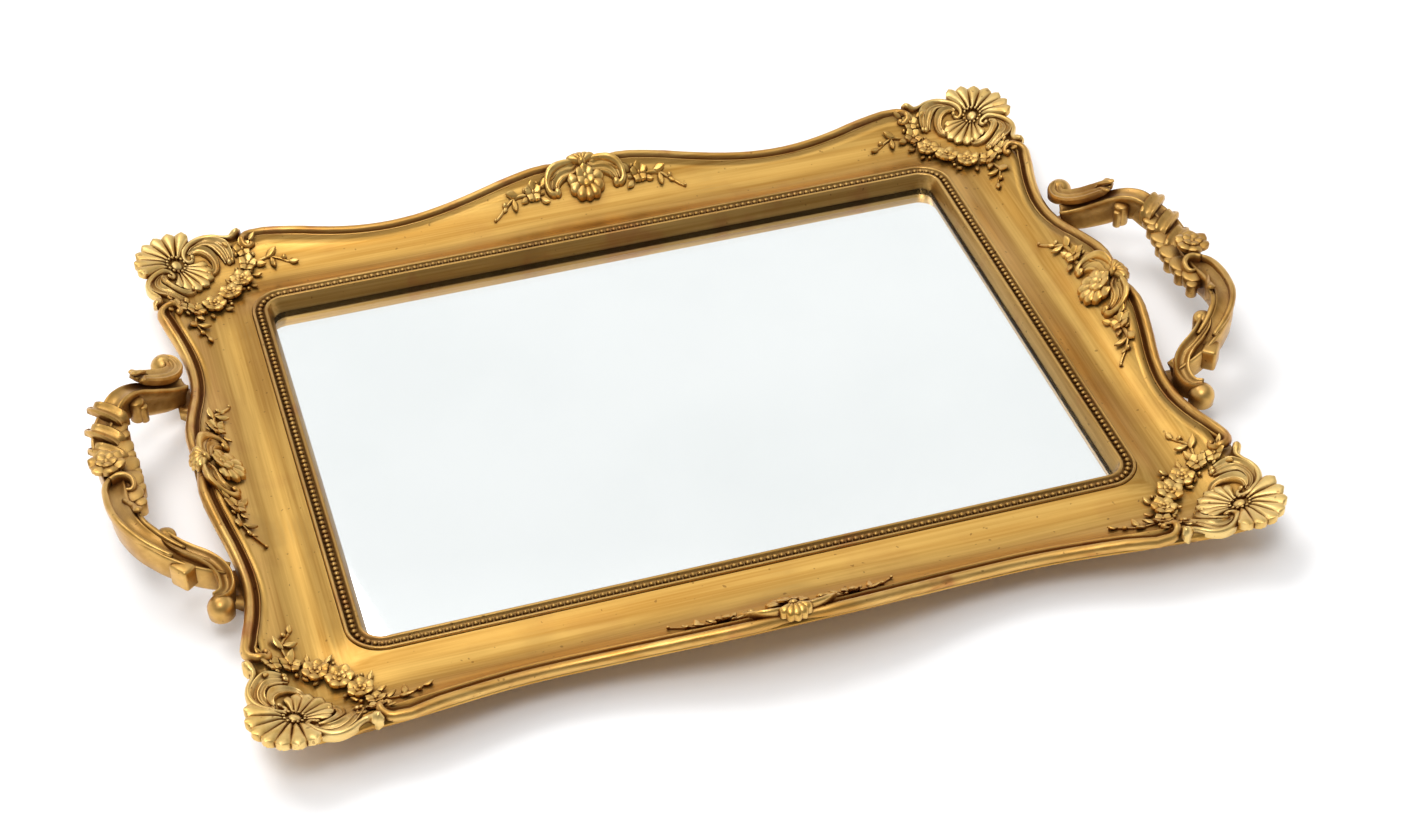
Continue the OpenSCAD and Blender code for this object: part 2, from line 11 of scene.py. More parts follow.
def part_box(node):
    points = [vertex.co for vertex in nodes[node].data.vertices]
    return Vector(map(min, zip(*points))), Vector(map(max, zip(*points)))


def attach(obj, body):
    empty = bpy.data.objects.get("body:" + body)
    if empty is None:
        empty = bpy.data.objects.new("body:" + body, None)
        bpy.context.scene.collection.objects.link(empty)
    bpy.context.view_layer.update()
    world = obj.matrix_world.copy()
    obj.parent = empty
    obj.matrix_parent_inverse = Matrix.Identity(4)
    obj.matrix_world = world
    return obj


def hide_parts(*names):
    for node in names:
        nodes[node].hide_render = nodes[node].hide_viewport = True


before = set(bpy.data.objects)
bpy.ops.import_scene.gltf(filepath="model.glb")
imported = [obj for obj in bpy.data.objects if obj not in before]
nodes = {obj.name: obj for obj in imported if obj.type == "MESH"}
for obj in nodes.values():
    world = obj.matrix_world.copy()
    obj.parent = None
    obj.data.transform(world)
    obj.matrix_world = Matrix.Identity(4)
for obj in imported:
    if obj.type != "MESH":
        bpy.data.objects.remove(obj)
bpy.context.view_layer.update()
mm = 0.001
scratch = []  # profiles and patterns that pieces are made from; deleted before the end
print("frame loaded:", len(nodes), "nodes")

# ---- camera, lamps, floor ----
cameraSetup = {"place": (-0.22427, -0.80000, 0.69929), "turn": (49.917, 0.857, -17.076), "lens": 68.63}
studio = {
    "floorSize": 16.0, "lampAim": (0, 0, 0.02),
    # brightness of the surroundings at heights from the horizon, 0, to straight up, 1
    "sky": [(0.0, 1.35), (0.26, 1.05), (0.50, 0.50), (0.68, 0.42), (0.84, 0.90), (1.0, 1.35)],
    "behindCamera": 0.35,  # share of that brightness that is left on the camera's side
    # pale card that the mirror shows: its reach to the right and in height, and its brightness
    "card": {"right": (0.03, 0.375), "height": (0.555, 0.735), "edge": 0.02, "glow": 0.58},
    "lamps": [
        {"name": "farBox", "place": (-0.7, 1.7, 2.5), "size": (2.0, 1.4), "watts": 34, "shine": False},
        {"name": "farGlint", "place": (-0.9, 1.5, 2.6), "size": (1.5, 1.0), "watts": 14, "shine": True},
        {"name": "leftBox", "place": (-1.9, 0.1, 1.5), "size": (0.8, 1.2), "watts": 8, "shine": False},
        {"name": "topBox", "place": (-0.5, -0.9, 2.2), "size": (0.9, 0.9), "watts": 16, "shine": True},
    ],
}


def linked(made):
    bpy.context.scene.collection.objects.link(made)
    return made


def addCamera(setup):
    data = bpy.data.cameras.new("camera")
    data.lens = setup["lens"]
    camera = linked(bpy.data.objects.new("camera", data))
    camera.location = setup["place"]
    camera.rotation_euler = [math.radians(a) for a in setup["turn"]]
    bpy.context.scene.camera = camera


def addLamp(spec):
    data = bpy.data.lights.new(spec["name"], "AREA")
    data.shape = "RECTANGLE"
    data.size, data.size_y = spec["size"]
    data.energy = spec["watts"]
    lamp = linked(bpy.data.objects.new(spec["name"], data))
    lamp.location = spec["place"]
    lamp.visible_glossy = spec["shine"]
    lamp.rotation_euler = (Vector(studio["lampAim"]) - lamp.location).to_track_quat("-Z", "Y").to_euler()


addCamera(cameraSetup)
for lampSpec in studio["lamps"]:
    addLamp(lampSpec)
bpy.context.scene.view_settings.view_transform = "Standard"
print("camera and lamps placed")


# ---- shader writing ----
class Wire:
    # one output of a shader tree; arithmetic on wires adds Math nodes
    def __init__(self, tree, socket=None):
        self.tree = tree
        self.socket = socket

    def node(self, kind, settings, inputs, output=0):
        made = self.tree.nodes.new("ShaderNode" + kind)
        for name, value in settings.items():
            if name == "stops":
                ramp = made.color_ramp.elements
                for end, (at, colour) in ((0, value[0]), (1, value[-1])):
                    ramp[end].position = at
                    ramp[end].color = colour
                for at, colour in value[1:-1]:
                    ramp.new(at).color = colour
            else:
                setattr(made, name, value)
        for name, value in inputs.items():
            if isinstance(value, Wire):
                self.tree.links.new(value.socket, made.inputs[name])
            else:
                made.inputs[name].default_value = value
        return Wire(self.tree, made.outputs[output])

    def maths(self, operation, first, second=0.0, clamp=False):
        return self.node("Math", {"operation": operation, "use_clamp": clamp}, {0: first, 1: second})

    def __add__(self, other):
        return self.maths("ADD", self, other)

    def __radd__(self, other):
        return self.maths("ADD", other, self)

    def __sub__(self, other):
        return self.maths("SUBTRACT", self, other)

    def __rsub__(self, other):
        return self.maths("SUBTRACT", other, self)

    def __mul__(self, other):
        return self.maths("MULTIPLY", self, other)

    def clamped(self):
        return self.maths("MULTIPLY", self, 1.0, True)

    def between(self, low, high):
        # 0 at low and 1 at high
        settings = {"interpolation_type": "SMOOTHSTEP"}
        return self.node("MapRange", settings, {"Value": self, "From Min": low, "From Max": high})

    def mixed(self, other, share):
        # this colour turning into the other as share goes from 0 to 1
        return self.node("Mix", {"data_type": "RGBA"}, {"Factor": share, 6: self, 7: other}, 2)


def shaderOf(name):
    material = bpy.data.materials.new(name)
    material.use_nodes = True
    return material, material.node_tree.nodes["Principled BSDF"], Wire(material.node_tree)


def addSky(heights, behind, card):
    world = bpy.data.worlds.new("studioSky")
    bpy.context.scene.world = world
    world.use_nodes = True
    wire = Wire(world.node_tree)
    way = wire.node("TexCoord", {}, {}, "Generated")
    parts = wire.node("SeparateXYZ", {}, {0: way}).socket.node.outputs
    right, far, up = (Wire(wire.tree, part) for part in parts)
    stops = [(at, (grey, grey, grey, 1.0)) for at, grey in heights]
    shown = far.between(0.0, 0.1)
    for side, (low, high) in ((right, card["right"]), (up, card["height"])):
        shown = shown * side.between(low - card["edge"], low) * (1 - side.between(high, high + card["edge"]))
    ahead = far.between(-0.8, 0.1) * (1 - behind) + behind
    glow = wire.node("ValToRGB", {"stops": stops}, {0: up}) * ahead + shown * card["glow"]
    wire.tree.links.new(glow.socket, world.node_tree.nodes["Background"].inputs["Color"])


addSky(studio["sky"], studio["behindCamera"], studio["card"])


def setSockets(shader, values):
    for name, value in values.items():
        if isinstance(value, Wire):
            value.tree.links.new(value.socket, shader.inputs[name])
        else:
            shader.inputs[name].default_value = value


# ---- gilding: brushed grain, brown wash and painted shade in the hollows, red clay rubbed through ----
# each look's wash colour, reach and fullness darken its hollows: partly real antique wash, partly painted
# shade
giltLooks = {
    "rail": {
        "gold": (0.52, 0.262, 0.045), "pale": (0.75, 0.455, 0.115), "washAndShadeColour": (0.15, 0.055, 0.012),
        "clay": (0.36, 0.115, 0.035), "rough": (0.30, 0.44), "washAndShadeReach": 5.0, "washAndShadeFull": 0.55,
        "clayShare": 0.10, "grainLength": 70.0, "grainWidth": 0.9, "bump": 0.10,
    },
    "rim": {
        "gold": (0.52, 0.252, 0.045), "pale": (0.80, 0.50, 0.15), "washAndShadeColour": (0.13, 0.036, 0.007),
        "clay": (0.42, 0.13, 0.04), "rough": (0.30, 0.46), "washAndShadeReach": 4.6, "washAndShadeFull": 0.85,
        "clayShare": 0.60, "grainLength": 40.0, "grainWidth": 1.2, "bump": 0.12,
    },
    "ornament": {
        "gold": (0.62, 0.33, 0.062), "pale": (0.90, 0.61, 0.20), "washAndShadeColour": (0.16, 0.048, 0.009),
        "clay": (0.40, 0.14, 0.045), "rough": (0.28, 0.42), "washAndShadeReach": 3.6, "washAndShadeFull": 1.0,
        "clayShare": 0.30, "grainLength": 5.0, "grainWidth": 2.5, "bump": 0.10,
    },
    # the shells' gold is paler than the ornament's: painted light, making them look more brightly lit
    "shell": {
        "gold": (0.74, 0.46, 0.125), "pale": (0.93, 0.67, 0.26), "washAndShadeColour": (0.19, 0.062, 0.012),
        "clay": (0.42, 0.16, 0.05), "rough": (0.30, 0.44), "washAndShadeReach": 3.4, "washAndShadeFull": 0.95,
        "clayShare": 0.16, "grainLength": 6.0, "grainWidth": 2.5, "bump": 0.10,
    },
    "liner": {
        "gold": (0.40, 0.215, 0.048), "pale": (0.68, 0.42, 0.13), "washAndShadeColour": (0.085, 0.028, 0.006),
        "clay": (0.40, 0.13, 0.045), "rough": (0.30, 0.44), "washAndShadeReach": 1.6, "washAndShadeFull": 0.85,
        "clayShare": 0.40, "grainLength": 60.0, "grainWidth": 1.0, "bump": 0.08,
    },
    "handle": {
        "gold": (0.46, 0.245, 0.052), "pale": (0.76, 0.47, 0.14), "washAndShadeColour": (0.13, 0.040, 0.008),
        "clay": (0.36, 0.13, 0.045), "rough": (0.32, 0.46), "washAndShadeReach": 7.0, "washAndShadeFull": 0.85,
        "clayShare": 0.30, "grainLength": 12.0, "grainWidth": 3.0, "bump": 0.08,
    },
}
giltPatterns = {
    "hollows": (0.42, 0.98),  # how open a place is where the wash and painted shade are full, and where they have gone
    "broadGrain": (2.2, 5.0),  # length and width of the broad grain, in fine grains
    "smudge": {"size": 38.0, "from": (0.56, 0.78), "share": 0.28},
    "specks": {"size": 2.4, "from": (0.735, 0.76), "share": 0.5},
    "worn": {"size": 17.0, "from": (0.52, 0.70)},
    "broadShare": 0.6, "fineShare": 0.4, "hollowRough": 0.25, "bumpDepth": 0.0004,
    "coat": 0.2, "coatRough": 0.22,
}


def rgba(colour):
    return (*colour, 1.0)


def giltMaterial(name, look, sightHalf):
    material, shader, wire = shaderOf(name)
    place = wire.node("TexCoord", {}, {}, "Object")
    split = wire.node("SeparateXYZ", {}, {0: place})
    across = Wire(wire.tree, split.socket.node.outputs[1])
    fromLong = across.maths("ABSOLUTE", across) - sightHalf[1]
    fromShort = split.maths("ABSOLUTE", split) - sightHalf[0]
    onShort = (fromShort - fromLong).between(-0.002, 0.002)

    def grained(lengthMm, widthMm, detail):
        # noise drawn out along X on the long sides and along Y on the short ones
        along, cross = 1 / (lengthMm * mm), 1 / (widthMm * mm)
        runs = []
        for scale in ((along, cross, cross), (cross, along, cross)):
            stretched = wire.node("Mapping", {}, {"Vector": place, "Scale": scale})
            runs.append(wire.node("TexNoise", {}, {"Vector": stretched, "Scale": 1.0, "Detail": detail}))
        return runs[0] * (1 - onShort) + runs[1] * onShort

    def clouded(sizeMm, detail, offset=0.0):
        moved = wire.node("Mapping", {}, {"Vector": place, "Location": (offset, offset, offset)})
        return wire.node("TexNoise", {}, {"Vector": moved, "Scale": 1 / (sizeMm * mm), "Detail": detail})

    smudgeSpec, speckSpec, wornSpec = (giltPatterns[kind] for kind in ("smudge", "specks", "worn"))
    longer, wider = giltPatterns["broadGrain"]
    fine = grained(look["grainLength"], look["grainWidth"], 3.0)
    broad = grained(look["grainLength"] * longer, look["grainWidth"] * wider, 2.0)
    # ambient occlusion: hollows, creases and undersides go towards the wash colour, partly the real antique
    # wash and partly painted shade
    openness = wire.node("AmbientOcclusion", {"samples": 6}, {"Distance": look["washAndShadeReach"] * mm}, "AO")
    washAndPaintedShade = (1 - openness.between(*giltPatterns["hollows"])) * look["washAndShadeFull"]
    smudge = clouded(smudgeSpec["size"], 3.0).between(*smudgeSpec["from"]) * fine.between(0.35, 0.65)
    specks = clouded(speckSpec["size"], 1.0, 3.0).between(*speckSpec["from"])
    worn = clouded(wornSpec["size"], 4.0, 7.0).between(*wornSpec["from"]) * look["clayShare"]
    streaks = broad.between(0.35, 0.65) * giltPatterns["broadShare"]
    streaks = streaks + fine.between(0.3, 0.7) * giltPatterns["fineShare"]
    tint = wire.node("Mix", {"data_type": "RGBA"}, {
        "Factor": streaks.clamped(), 6: rgba(look["gold"]), 7: rgba(look["pale"])}, 2)
    tint = tint.mixed(rgba(look["clay"]), worn.clamped())
    # the wash share holds painted shade from the hollows besides the dirt of the smudges and specks
    washShadeAndDirt = washAndPaintedShade + smudge * smudgeSpec["share"] + specks * speckSpec["share"]
    tint = tint.mixed(rgba(look["washAndShadeColour"]), washShadeAndDirt.clamped())
    smoothest, roughest = look["rough"]
    rough = smoothest + fine * (roughest - smoothest) + washAndPaintedShade * giltPatterns["hollowRough"]
    bumpSettings = {"Strength": look["bump"], "Distance": giltPatterns["bumpDepth"], "Height": fine}
    bump = wire.node("Bump", {}, bumpSettings, "Normal")
    setSockets(shader, {
        "Base Color": tint, "Metallic": 1.0, "Roughness": rough.clamped(), "Normal": bump,
        "Coat Weight": giltPatterns["coat"], "Coat Roughness": giltPatterns["coatRough"]})
    return material


# ---- sizes taken from the frame ----
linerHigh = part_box("bead_liner")[1]
flangeOut = 7.0 * mm  # from the bead line to the edge of the liner's flange
sightHalf = (linerHigh.x - flangeOut, linerHigh.y - flangeOut)
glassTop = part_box("mirror_glass")[1].z
beadTop = linerHigh.z
print("bead line half sizes:", [round(s / mm, 2) for s in sightHalf])
gilt = {name: giltMaterial("gilt" + name.capitalize(), look, sightHalf) for name, look in giltLooks.items()}
print("gilding mixed")


# ---- small modelling tools ----
def pick(*objects):
    bpy.ops.object.select_all(action="DESELECT")
    for each in objects:
        each.select_set(True)
    bpy.context.view_layer.objects.active = objects[0]


def added(operator, name, **settings):
    # runs one of the add operators with nothing else selected
    bpy.ops.object.select_all(action="DESELECT")
    operator(**settings)
    made = bpy.context.object
    made.name = name
    return made


def edited(piece, *steps):
    # runs edit mode operators, each on the whole piece
    pick(piece)
    bpy.ops.object.mode_set(mode="EDIT")
    for operator, settings in steps:
        bpy.ops.mesh.select_all(action="SELECT")
        operator(**settings)
    bpy.ops.object.mode_set(mode="OBJECT")
    return piece


def weld(piece, distance=0.005):
    # merges doubles, then turns the faces outwards
    return edited(piece, (bpy.ops.mesh.remove_doubles, {"threshold": distance * mm}),
                  (bpy.ops.mesh.normals_make_consistent, {"inside": False}))


def smooth(piece, angle=40):
    pick(piece)
    bpy.ops.object.shade_smooth_by_angle(angle=math.radians(angle))
    return piece


def modified(piece, kind, **settings):
    pick(piece)
    modifier = piece.modifiers.new(kind.lower(), kind)
    for name, value in settings.items():
        setattr(modifier, name, value)
    bpy.ops.object.modifier_apply(modifier=modifier.name)
    return piece


def joined(name, pieces):
    pick(*pieces)
    if len(pieces) > 1:
        bpy.ops.object.join()
    whole = bpy.context.view_layer.objects.active
    whole.name = name
    whole.data.name = name
    return whole


def finished(piece, name, look, slotName, *stoodFor):
    piece.name = name
    piece.data.name = name
    piece.data.materials.clear()
    piece.data.materials.append(look)
    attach(piece, "root")
    if stoodFor:
        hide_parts(*stoodFor)
    return piece


def meshCopy(piece, name):
    return linked(bpy.data.objects.new(name, piece.data.copy()))


def points(piece):
    flat = np.empty(len(piece.data.vertices) * 3)
    piece.data.vertices.foreach_get("co", flat)
    return flat.reshape(-1, 3)


def setPoints(piece, places):
    piece.data.vertices.foreach_set("co", np.asarray(places, float).ravel())
    piece.data.update()


def closedLine(name, outline, height=0.0):
    # closed curve with straight sides
    made = added(bpy.ops.curve.primitive_bezier_curve_add, name)
    made.data.splines.clear()
    line = made.data.splines.new("POLY")
    line.points.add(len(outline) - 1)
    for point, (x, y) in zip(line.points, outline):
        point.co = (x * mm, y * mm, height, 1)
    line.use_cyclic_u = True
    return made


def profileOf(name, outline):
    # flat outline that curves are swept with: right of the way along the curve, and up
    made = closedLine(name, outline)
    scratch.append(made)
    return made


def meshAlong(made, profile):
    # mesh of the profile drawn along a curve
    made.data.twist_mode = "Z_UP"
    made.data.bevel_mode = "OBJECT"
    made.data.bevel_object = profile
    pick(made)
    bpy.ops.object.convert(target="MESH")
    return weld(bpy.context.object)


def swept(name, profile, stations, steps=5):
    # profile swept along stations of (x, y, z, size), as a closed mesh
    made = added(bpy.ops.curve.primitive_bezier_curve_add, name)
    made.data.resolution_u = steps
    made.data.use_fill_caps = True
    line = made.data.splines[0]
    line.bezier_points.add(len(stations) - 2)
    for point, station in zip(line.bezier_points, stations):
        point.co = [s * mm for s in station[:3]]
        point.radius = station[3]
        point.handle_left_type = point.handle_right_type = "AUTO"
    return meshAlong(made, profile)


def beadOf(name, size, flat=1.0, segments=10, rings=6):
    # pearl, pip or boss that others are copied from
    made = added(bpy.ops.mesh.primitive_uv_sphere_add, name,
                 segments=segments, ring_count=rings, radius=size / 2 * mm)
    made.data.transform(Matrix.Diagonal((1, 1, flat, 1)))
    scratch.append(made)
    return made


# ---- moulding: the frame's own shape, made smooth ----
def addMoulding():
    moulding = weld(meshCopy(nodes["cove_moulding"], "coveMoulding"))
    smooth(moulding, 35)
    return finished(moulding, "coveMoulding", gilt["rail"], "gilt_moulding", "cove_moulding")


addMoulding()
print("moulding made")

# ---- sight edge: steep inner wall, two fillets, and a string of pearls between them ----
sightEdge = {
    "cornerRadius": 11.0, "cornerSteps": 12,
    "pearlPitch": 2.66, "pearlSize": 2.15, "pearlDrop": 0.95,
}
edgeHeight = (beadTop - glassTop) / mm


def roundedLine(spec):
    # corners of the bead line as arcs, anticlockwise from the near right one
    halfX, halfY = (s / mm for s in sightHalf)
    radius, steps = spec["cornerRadius"], spec["cornerSteps"]
    line = []
    for fx, fy, start in ((1, -1, -90), (1, 1, 0), (-1, 1, 90), (-1, -1, 180)):
        centre = (fx * (halfX - radius), fy * (halfY - radius))
        for step in range(steps + 1):
            turn = math.radians(start + 90 * step / steps)
            line.append((centre[0] + radius * math.cos(turn), centre[1] + radius * math.sin(turn)))
    return line


def linerProfile(height):
    # outwards is to the right; heights are below the bead line's own height
    wall = [(-5.4, -height), (-5.3, -height + 0.5), (-4.6, -3.4), (-3.9, -1.6), (-3.45, -0.75)]
    innerFillet = [(-3.3, -0.35), (-3.0, -0.06), (-2.6, 0.04), (-2.2, -0.08), (-1.9, -0.45)]
    groove = [(-1.6, -0.95), (-1.0, -1.35), (0, -1.5), (1.0, -1.35), (1.5, -0.95)]
    outerFillet = [(1.75, -0.5), (2.0, -0.12), (2.4, 0.05), (2.8, -0.06), (3.05, -0.4), (3.2, -1.2)]
    hidden = [(3.2, -height + 1.5), (7.0, -height + 1.5), (7.0, -height)]
    return wall + innerFillet + groove + outerFillet + hidden


def addLiner(spec):
    profile = profileOf("linerProfile", linerProfile(edgeHeight))
    liner = smooth(meshAlong(closedLine("liner", roundedLine(spec), beadTop), profile), 50)
    return finished(liner, "sightLiner", gilt["liner"], "gilt_liner", "bead_liner")


def addPearls(spec):
    line = [Vector((*p, 0)) for p in roundedLine(spec)]
    lengths = [(line[(i + 1) % len(line)] - line[i]).length for i in range(len(line))]
    count = round(sum(lengths) / spec["pearlPitch"])
    pearl = beadOf("pearl", spec["pearlSize"])
    pearls = []
    for index in range(count):
        along, side = index * sum(lengths) / count, 0
        while along > lengths[side]:
            along -= lengths[side]
            side += 1
        place = line[side].lerp(line[(side + 1) % len(line)], along / lengths[side]) * mm
        made = meshCopy(pearl, "pearl")
        made.data.transform(Matrix.Translation((place.x, place.y, beadTop - spec["pearlDrop"] * mm)))
        pearls.append(made)
    string = smooth(joined("pearlString", pearls), 60)
    print("pearls:", count)
    return finished(string, "pearlString", gilt["liner"], "gilt_liner")


addLiner(sightEdge)
addPearls(sightEdge)
print("sight edge made")


# ---- ground: height of the moulding under the ornament, over one quarter of the tray ----
groundGrid = {"step": 1.0, "reach": (206, 166), "softening": 3, "above": 200.0}


def measuredGround(spec):
    places, faces = [], []
    for name in ("cove_moulding", "rim_roll_far", "rim_roll_right"):
        mesh = nodes[name].data
        first = len(places)
        places += [v.co for v in mesh.vertices]
        faces += [[first + i for i in face.vertices] for face in mesh.polygons]
    tree = BVHTree.FromPolygons(places, faces)
    step, (reachX, reachY) = spec["step"], spec["reach"]
    heights = np.full((int(reachX / step), int(reachY / step)), np.nan)
    for i in range(heights.shape[0]):
        for j in range(heights.shape[1]):
            hit = tree.ray_cast((i * step * mm, j * step * mm, spec["above"] * mm), (0, 0, -1))[0]
            if hit is not None and hit.z > glassTop:
                heights[i, j] = hit.z / mm
    while np.isnan(heights).any():  # past the edges the ground carries on level
        padded = np.pad(heights, 1, mode="edge")
        around = np.stack([padded[1 + a:padded.shape[0] - 1 + a, 1 + b:padded.shape[1] - 1 + b]
                           for a in (-1, 0, 1) for b in (-1, 0, 1)])
        known = ~np.isnan(around)
        sums = np.where(known, around, 0).sum(0)
        counts = known.sum(0)
        fill = np.isnan(heights) & (counts > 0)
        heights[fill] = sums[fill] / counts[fill]
    for _ in range(spec["softening"]):
        padded = np.pad(heights, 1, mode="edge")
        beside = padded[:-2, 1:-1] + padded[2:, 1:-1] + padded[1:-1, :-2] + padded[1:-1, 2:]
        heights = (beside + 2 * heights) / 6
    return heights


groundHeights = measuredGround(groundGrid)


def groundAt(x, y):
    # height in millimetres at places in millimetres, mirrored into the quarter that was measured
    i = np.clip(np.abs(x) / groundGrid["step"], 0, groundHeights.shape[0] - 1.001)
    j = np.clip(np.abs(y) / groundGrid["step"], 0, groundHeights.shape[1] - 1.001)
    i0, j0 = i.astype(int), j.astype(int)
    u, v = i - i0, j - j0
    near = groundHeights[i0, j0] * (1 - u) * (1 - v) + groundHeights[i0 + 1, j0] * u * (1 - v)
    return near + groundHeights[i0, j0 + 1] * (1 - u) * v + groundHeights[i0 + 1, j0 + 1] * u * v


def settled(piece):
    # lets flat ornament down onto the moulding, which it then follows
    places = points(piece)
    places[:, 2] += groundAt(places[:, 0] / mm, places[:, 1] / mm) * mm
    setPoints(piece, places)
    return piece


# ---- patterns that the ornament is pressed from; each points along +X from its own root ----
def pressed(name, spec):
    # petal, leaf or shell lobe: a grid shaped by its outline and crown, then given its thickness
    made = added(bpy.ops.mesh.primitive_grid_add, name,
                 x_subdivisions=spec.get("long", 8), y_subdivisions=6, size=2)
    places = points(made)
    along, side = (places[:, 0] + 1) / 2, places[:, 1]
    length, width, root = spec["length"], spec["width"], spec["root"]
    if "belly" in spec:  # oval, pointed or round
        swell = np.sin(np.pi * along ** spec["belly"]) ** spec["blunt"]
        half = width / 2 * np.maximum(swell, spec["tip"])
        half = np.where(along < 0.5, np.maximum(half, width / 2 * root), half)
        tipPull = 1 - spec["round"] * side ** 2 * along ** 2
    else:  # straight sides that open from the root to a round end
        cap = 1 - width / 2 / length
        opened = root + (1 - root) * np.minimum(along / cap, 1)
        past = ((along - cap) / (1 - cap)).clip(0, 1)
        half = width / 2 * opened * np.sqrt(np.clip(1 - past ** 2, 0.03, 1))
        tipPull = 1
    crown = spec["crown"] * (1 - np.abs(side) ** spec.get("edge", 2.0))
    vein = spec.get("vein", 0.0) * np.exp(-(side / 0.22) ** 2) * np.sin(np.pi * along)
    rise = spec["rise"] * along ** spec.get("lift", 1.5) - spec.get("droop", 0.0) * along ** 6
    height = crown * np.sin(np.pi * np.clip(along * 0.9 + 0.08, 0, 1)) ** 0.5 - vein + rise
    setPoints(made, np.stack([along * length * tipPull, half * side, height + spec["thick"]], 1) * mm)
    down = {"TRANSFORM_OT_translate": {"value": (0, 0, -spec["thick"] * mm)}}
    edited(made, (bpy.ops.mesh.extrude_region_move, down),
           (bpy.ops.mesh.normals_make_consistent, {"inside": False}))
    scratch.append(made)
    return made


def stamped(master, at, turn=0, size=1.0, lift=0.0, tilt=0.0):
    made = meshCopy(master, master.name + "Pressed")
    made.data.transform(
        Matrix.Translation((at[0] * mm, at[1] * mm, lift * mm)) @ Matrix.Rotation(math.radians(turn), 4, "Z")
        @ Matrix.Rotation(-math.radians(tilt), 4, "Y") @ Matrix.Scale(size, 4))
    return made


patterns = {
    "shellLobe": {"length": 13.0, "width": 6.2, "thick": 2.8, "crown": 1.5, "root": 0.17,
                  "rise": 3.0, "lift": 1.3, "edge": 2.6, "long": 14},
    "palmLeaf": {"length": 12.8, "width": 4.9, "thick": 1.0, "crown": 1.4, "root": 0.20,
                 "rise": 0.9, "droop": 0.7, "long": 11},
    "leaf": {"length": 5.6, "width": 2.9, "thick": 0.7, "crown": 0.8, "root": 0.2,
             "belly": 0.85, "blunt": 0.8, "tip": 0.05, "round": 0.0, "vein": 0.35, "rise": 0.7},
    "starPetal": {"length": 3.6, "width": 3.3, "thick": 0.9, "crown": 0.55, "root": 0.4, "belly": 1.5,
                  "blunt": 0.5, "tip": 0.35, "round": 0.15, "vein": 0.25, "rise": 0.5, "long": 6},
    "roundPetal": {"length": 4.7, "width": 4.6, "thick": 1.1, "crown": 0.85, "root": 0.4, "rise": 0.9},
    "crestLobe": {"length": 7.6, "width": 3.7, "thick": 2.4, "crown": 0.9, "root": 0.2,
                  "rise": 0.6, "droop": 1.2, "long": 10},
    "rosetteLobe": {"length": 8.0, "width": 4.3, "thick": 1.7, "crown": 1.2, "root": 0.3,
                    "rise": 1.2, "droop": 0.8, "long": 10},
}
pattern = {name: pressed(name, spec) for name, spec in patterns.items()}
pattern["pip"] = beadOf("pip", 1.5)
pattern["tinyPip"] = beadOf("tinyPip", 1.25, 1.0, 8, 5)
pattern["bud"] = beadOf("bud", 2.3, 1.1)
pattern["boss"] = beadOf("boss", 5.0, 0.75, 20, 10)

stemProfile = profileOf("stemProfile", [
    (-0.62, -0.6), (-0.62, 0.25), (-0.4, 0.66), (0, 0.82), (0.4, 0.66), (0.62, 0.25), (0.62, -0.6)])
bandProfile = profileOf("bandProfile", [
    (-2.9, -1.4), (-2.95, 1.0), (-2.6, 1.6), (-2.2, 1.55), (-1.7, 0.8), (-1.0, 0.35), (-0.5, 0.5),
    (-0.2, 1.05), (0.15, 1.05), (0.5, 0.55), (1.2, 0.4), (1.8, 0.9), (2.3, 1.75), (2.7, 1.8), (3.0, 1.1),
    (3.0, -1.4)])
smallScrollProfile = profileOf("smallScrollProfile", [
    (-1.8, -0.8), (-1.85, 1.1), (-1.55, 1.65), (-1.15, 1.5), (-0.6, 0.8), (0, 0.6), (0.6, 0.85),
    (1.05, 1.6), (1.45, 1.9), (1.8, 1.4), (1.85, -0.8)])
ridgeProfile = profileOf("ridgeProfile", [
    (-1.3, -2.4), (-1.35, 0.5), (-1.05, 1.4), (-0.4, 1.95), (0.4, 1.95), (1.05, 1.4), (1.35, 0.5),
    (1.3, -2.4)])


def onRing(at, radius, degrees):
    turn = math.radians(degrees)
    return (at[0] + radius * math.cos(turn), at[1] + radius * math.sin(turn))


def fan(name, at, radius, middle, spread, count, lift):
    # lobes of a shell, spread to both sides of its middle way
    turns = [middle - spread + 2 * spread * k / (count - 1) for k in range(count)]
    return [stamped(pattern[name], onRing(at, radius, turn), turn, 1.0, lift) for turn in turns]


def flower(at, petal, count, turn=0.0, size=1.0, lift=0.0, tilt=8.0, gap=0.45, pip="pip"):
    parts = []
    for k in range(count):
        way = turn + 360 * k / count
        parts.append(stamped(pattern[petal], onRing(at, gap * size, way), way, size, lift, tilt))
    return parts + [stamped(pattern[pip], at, 0, size, lift + 1.4 * size)]


def rose(at, turn, size=1.0):
    outer = flower(at, "roundPetal", 6, turn, size, 0.6, 2, 0.3)
    inner = flower(at, "roundPetal", 5, turn + 30, size * 0.52, 1.7 * size, 6, 0.2)
    return outer + inner + [stamped(pattern["pip"], at, 0, size * 1.2, 2.7 * size)]


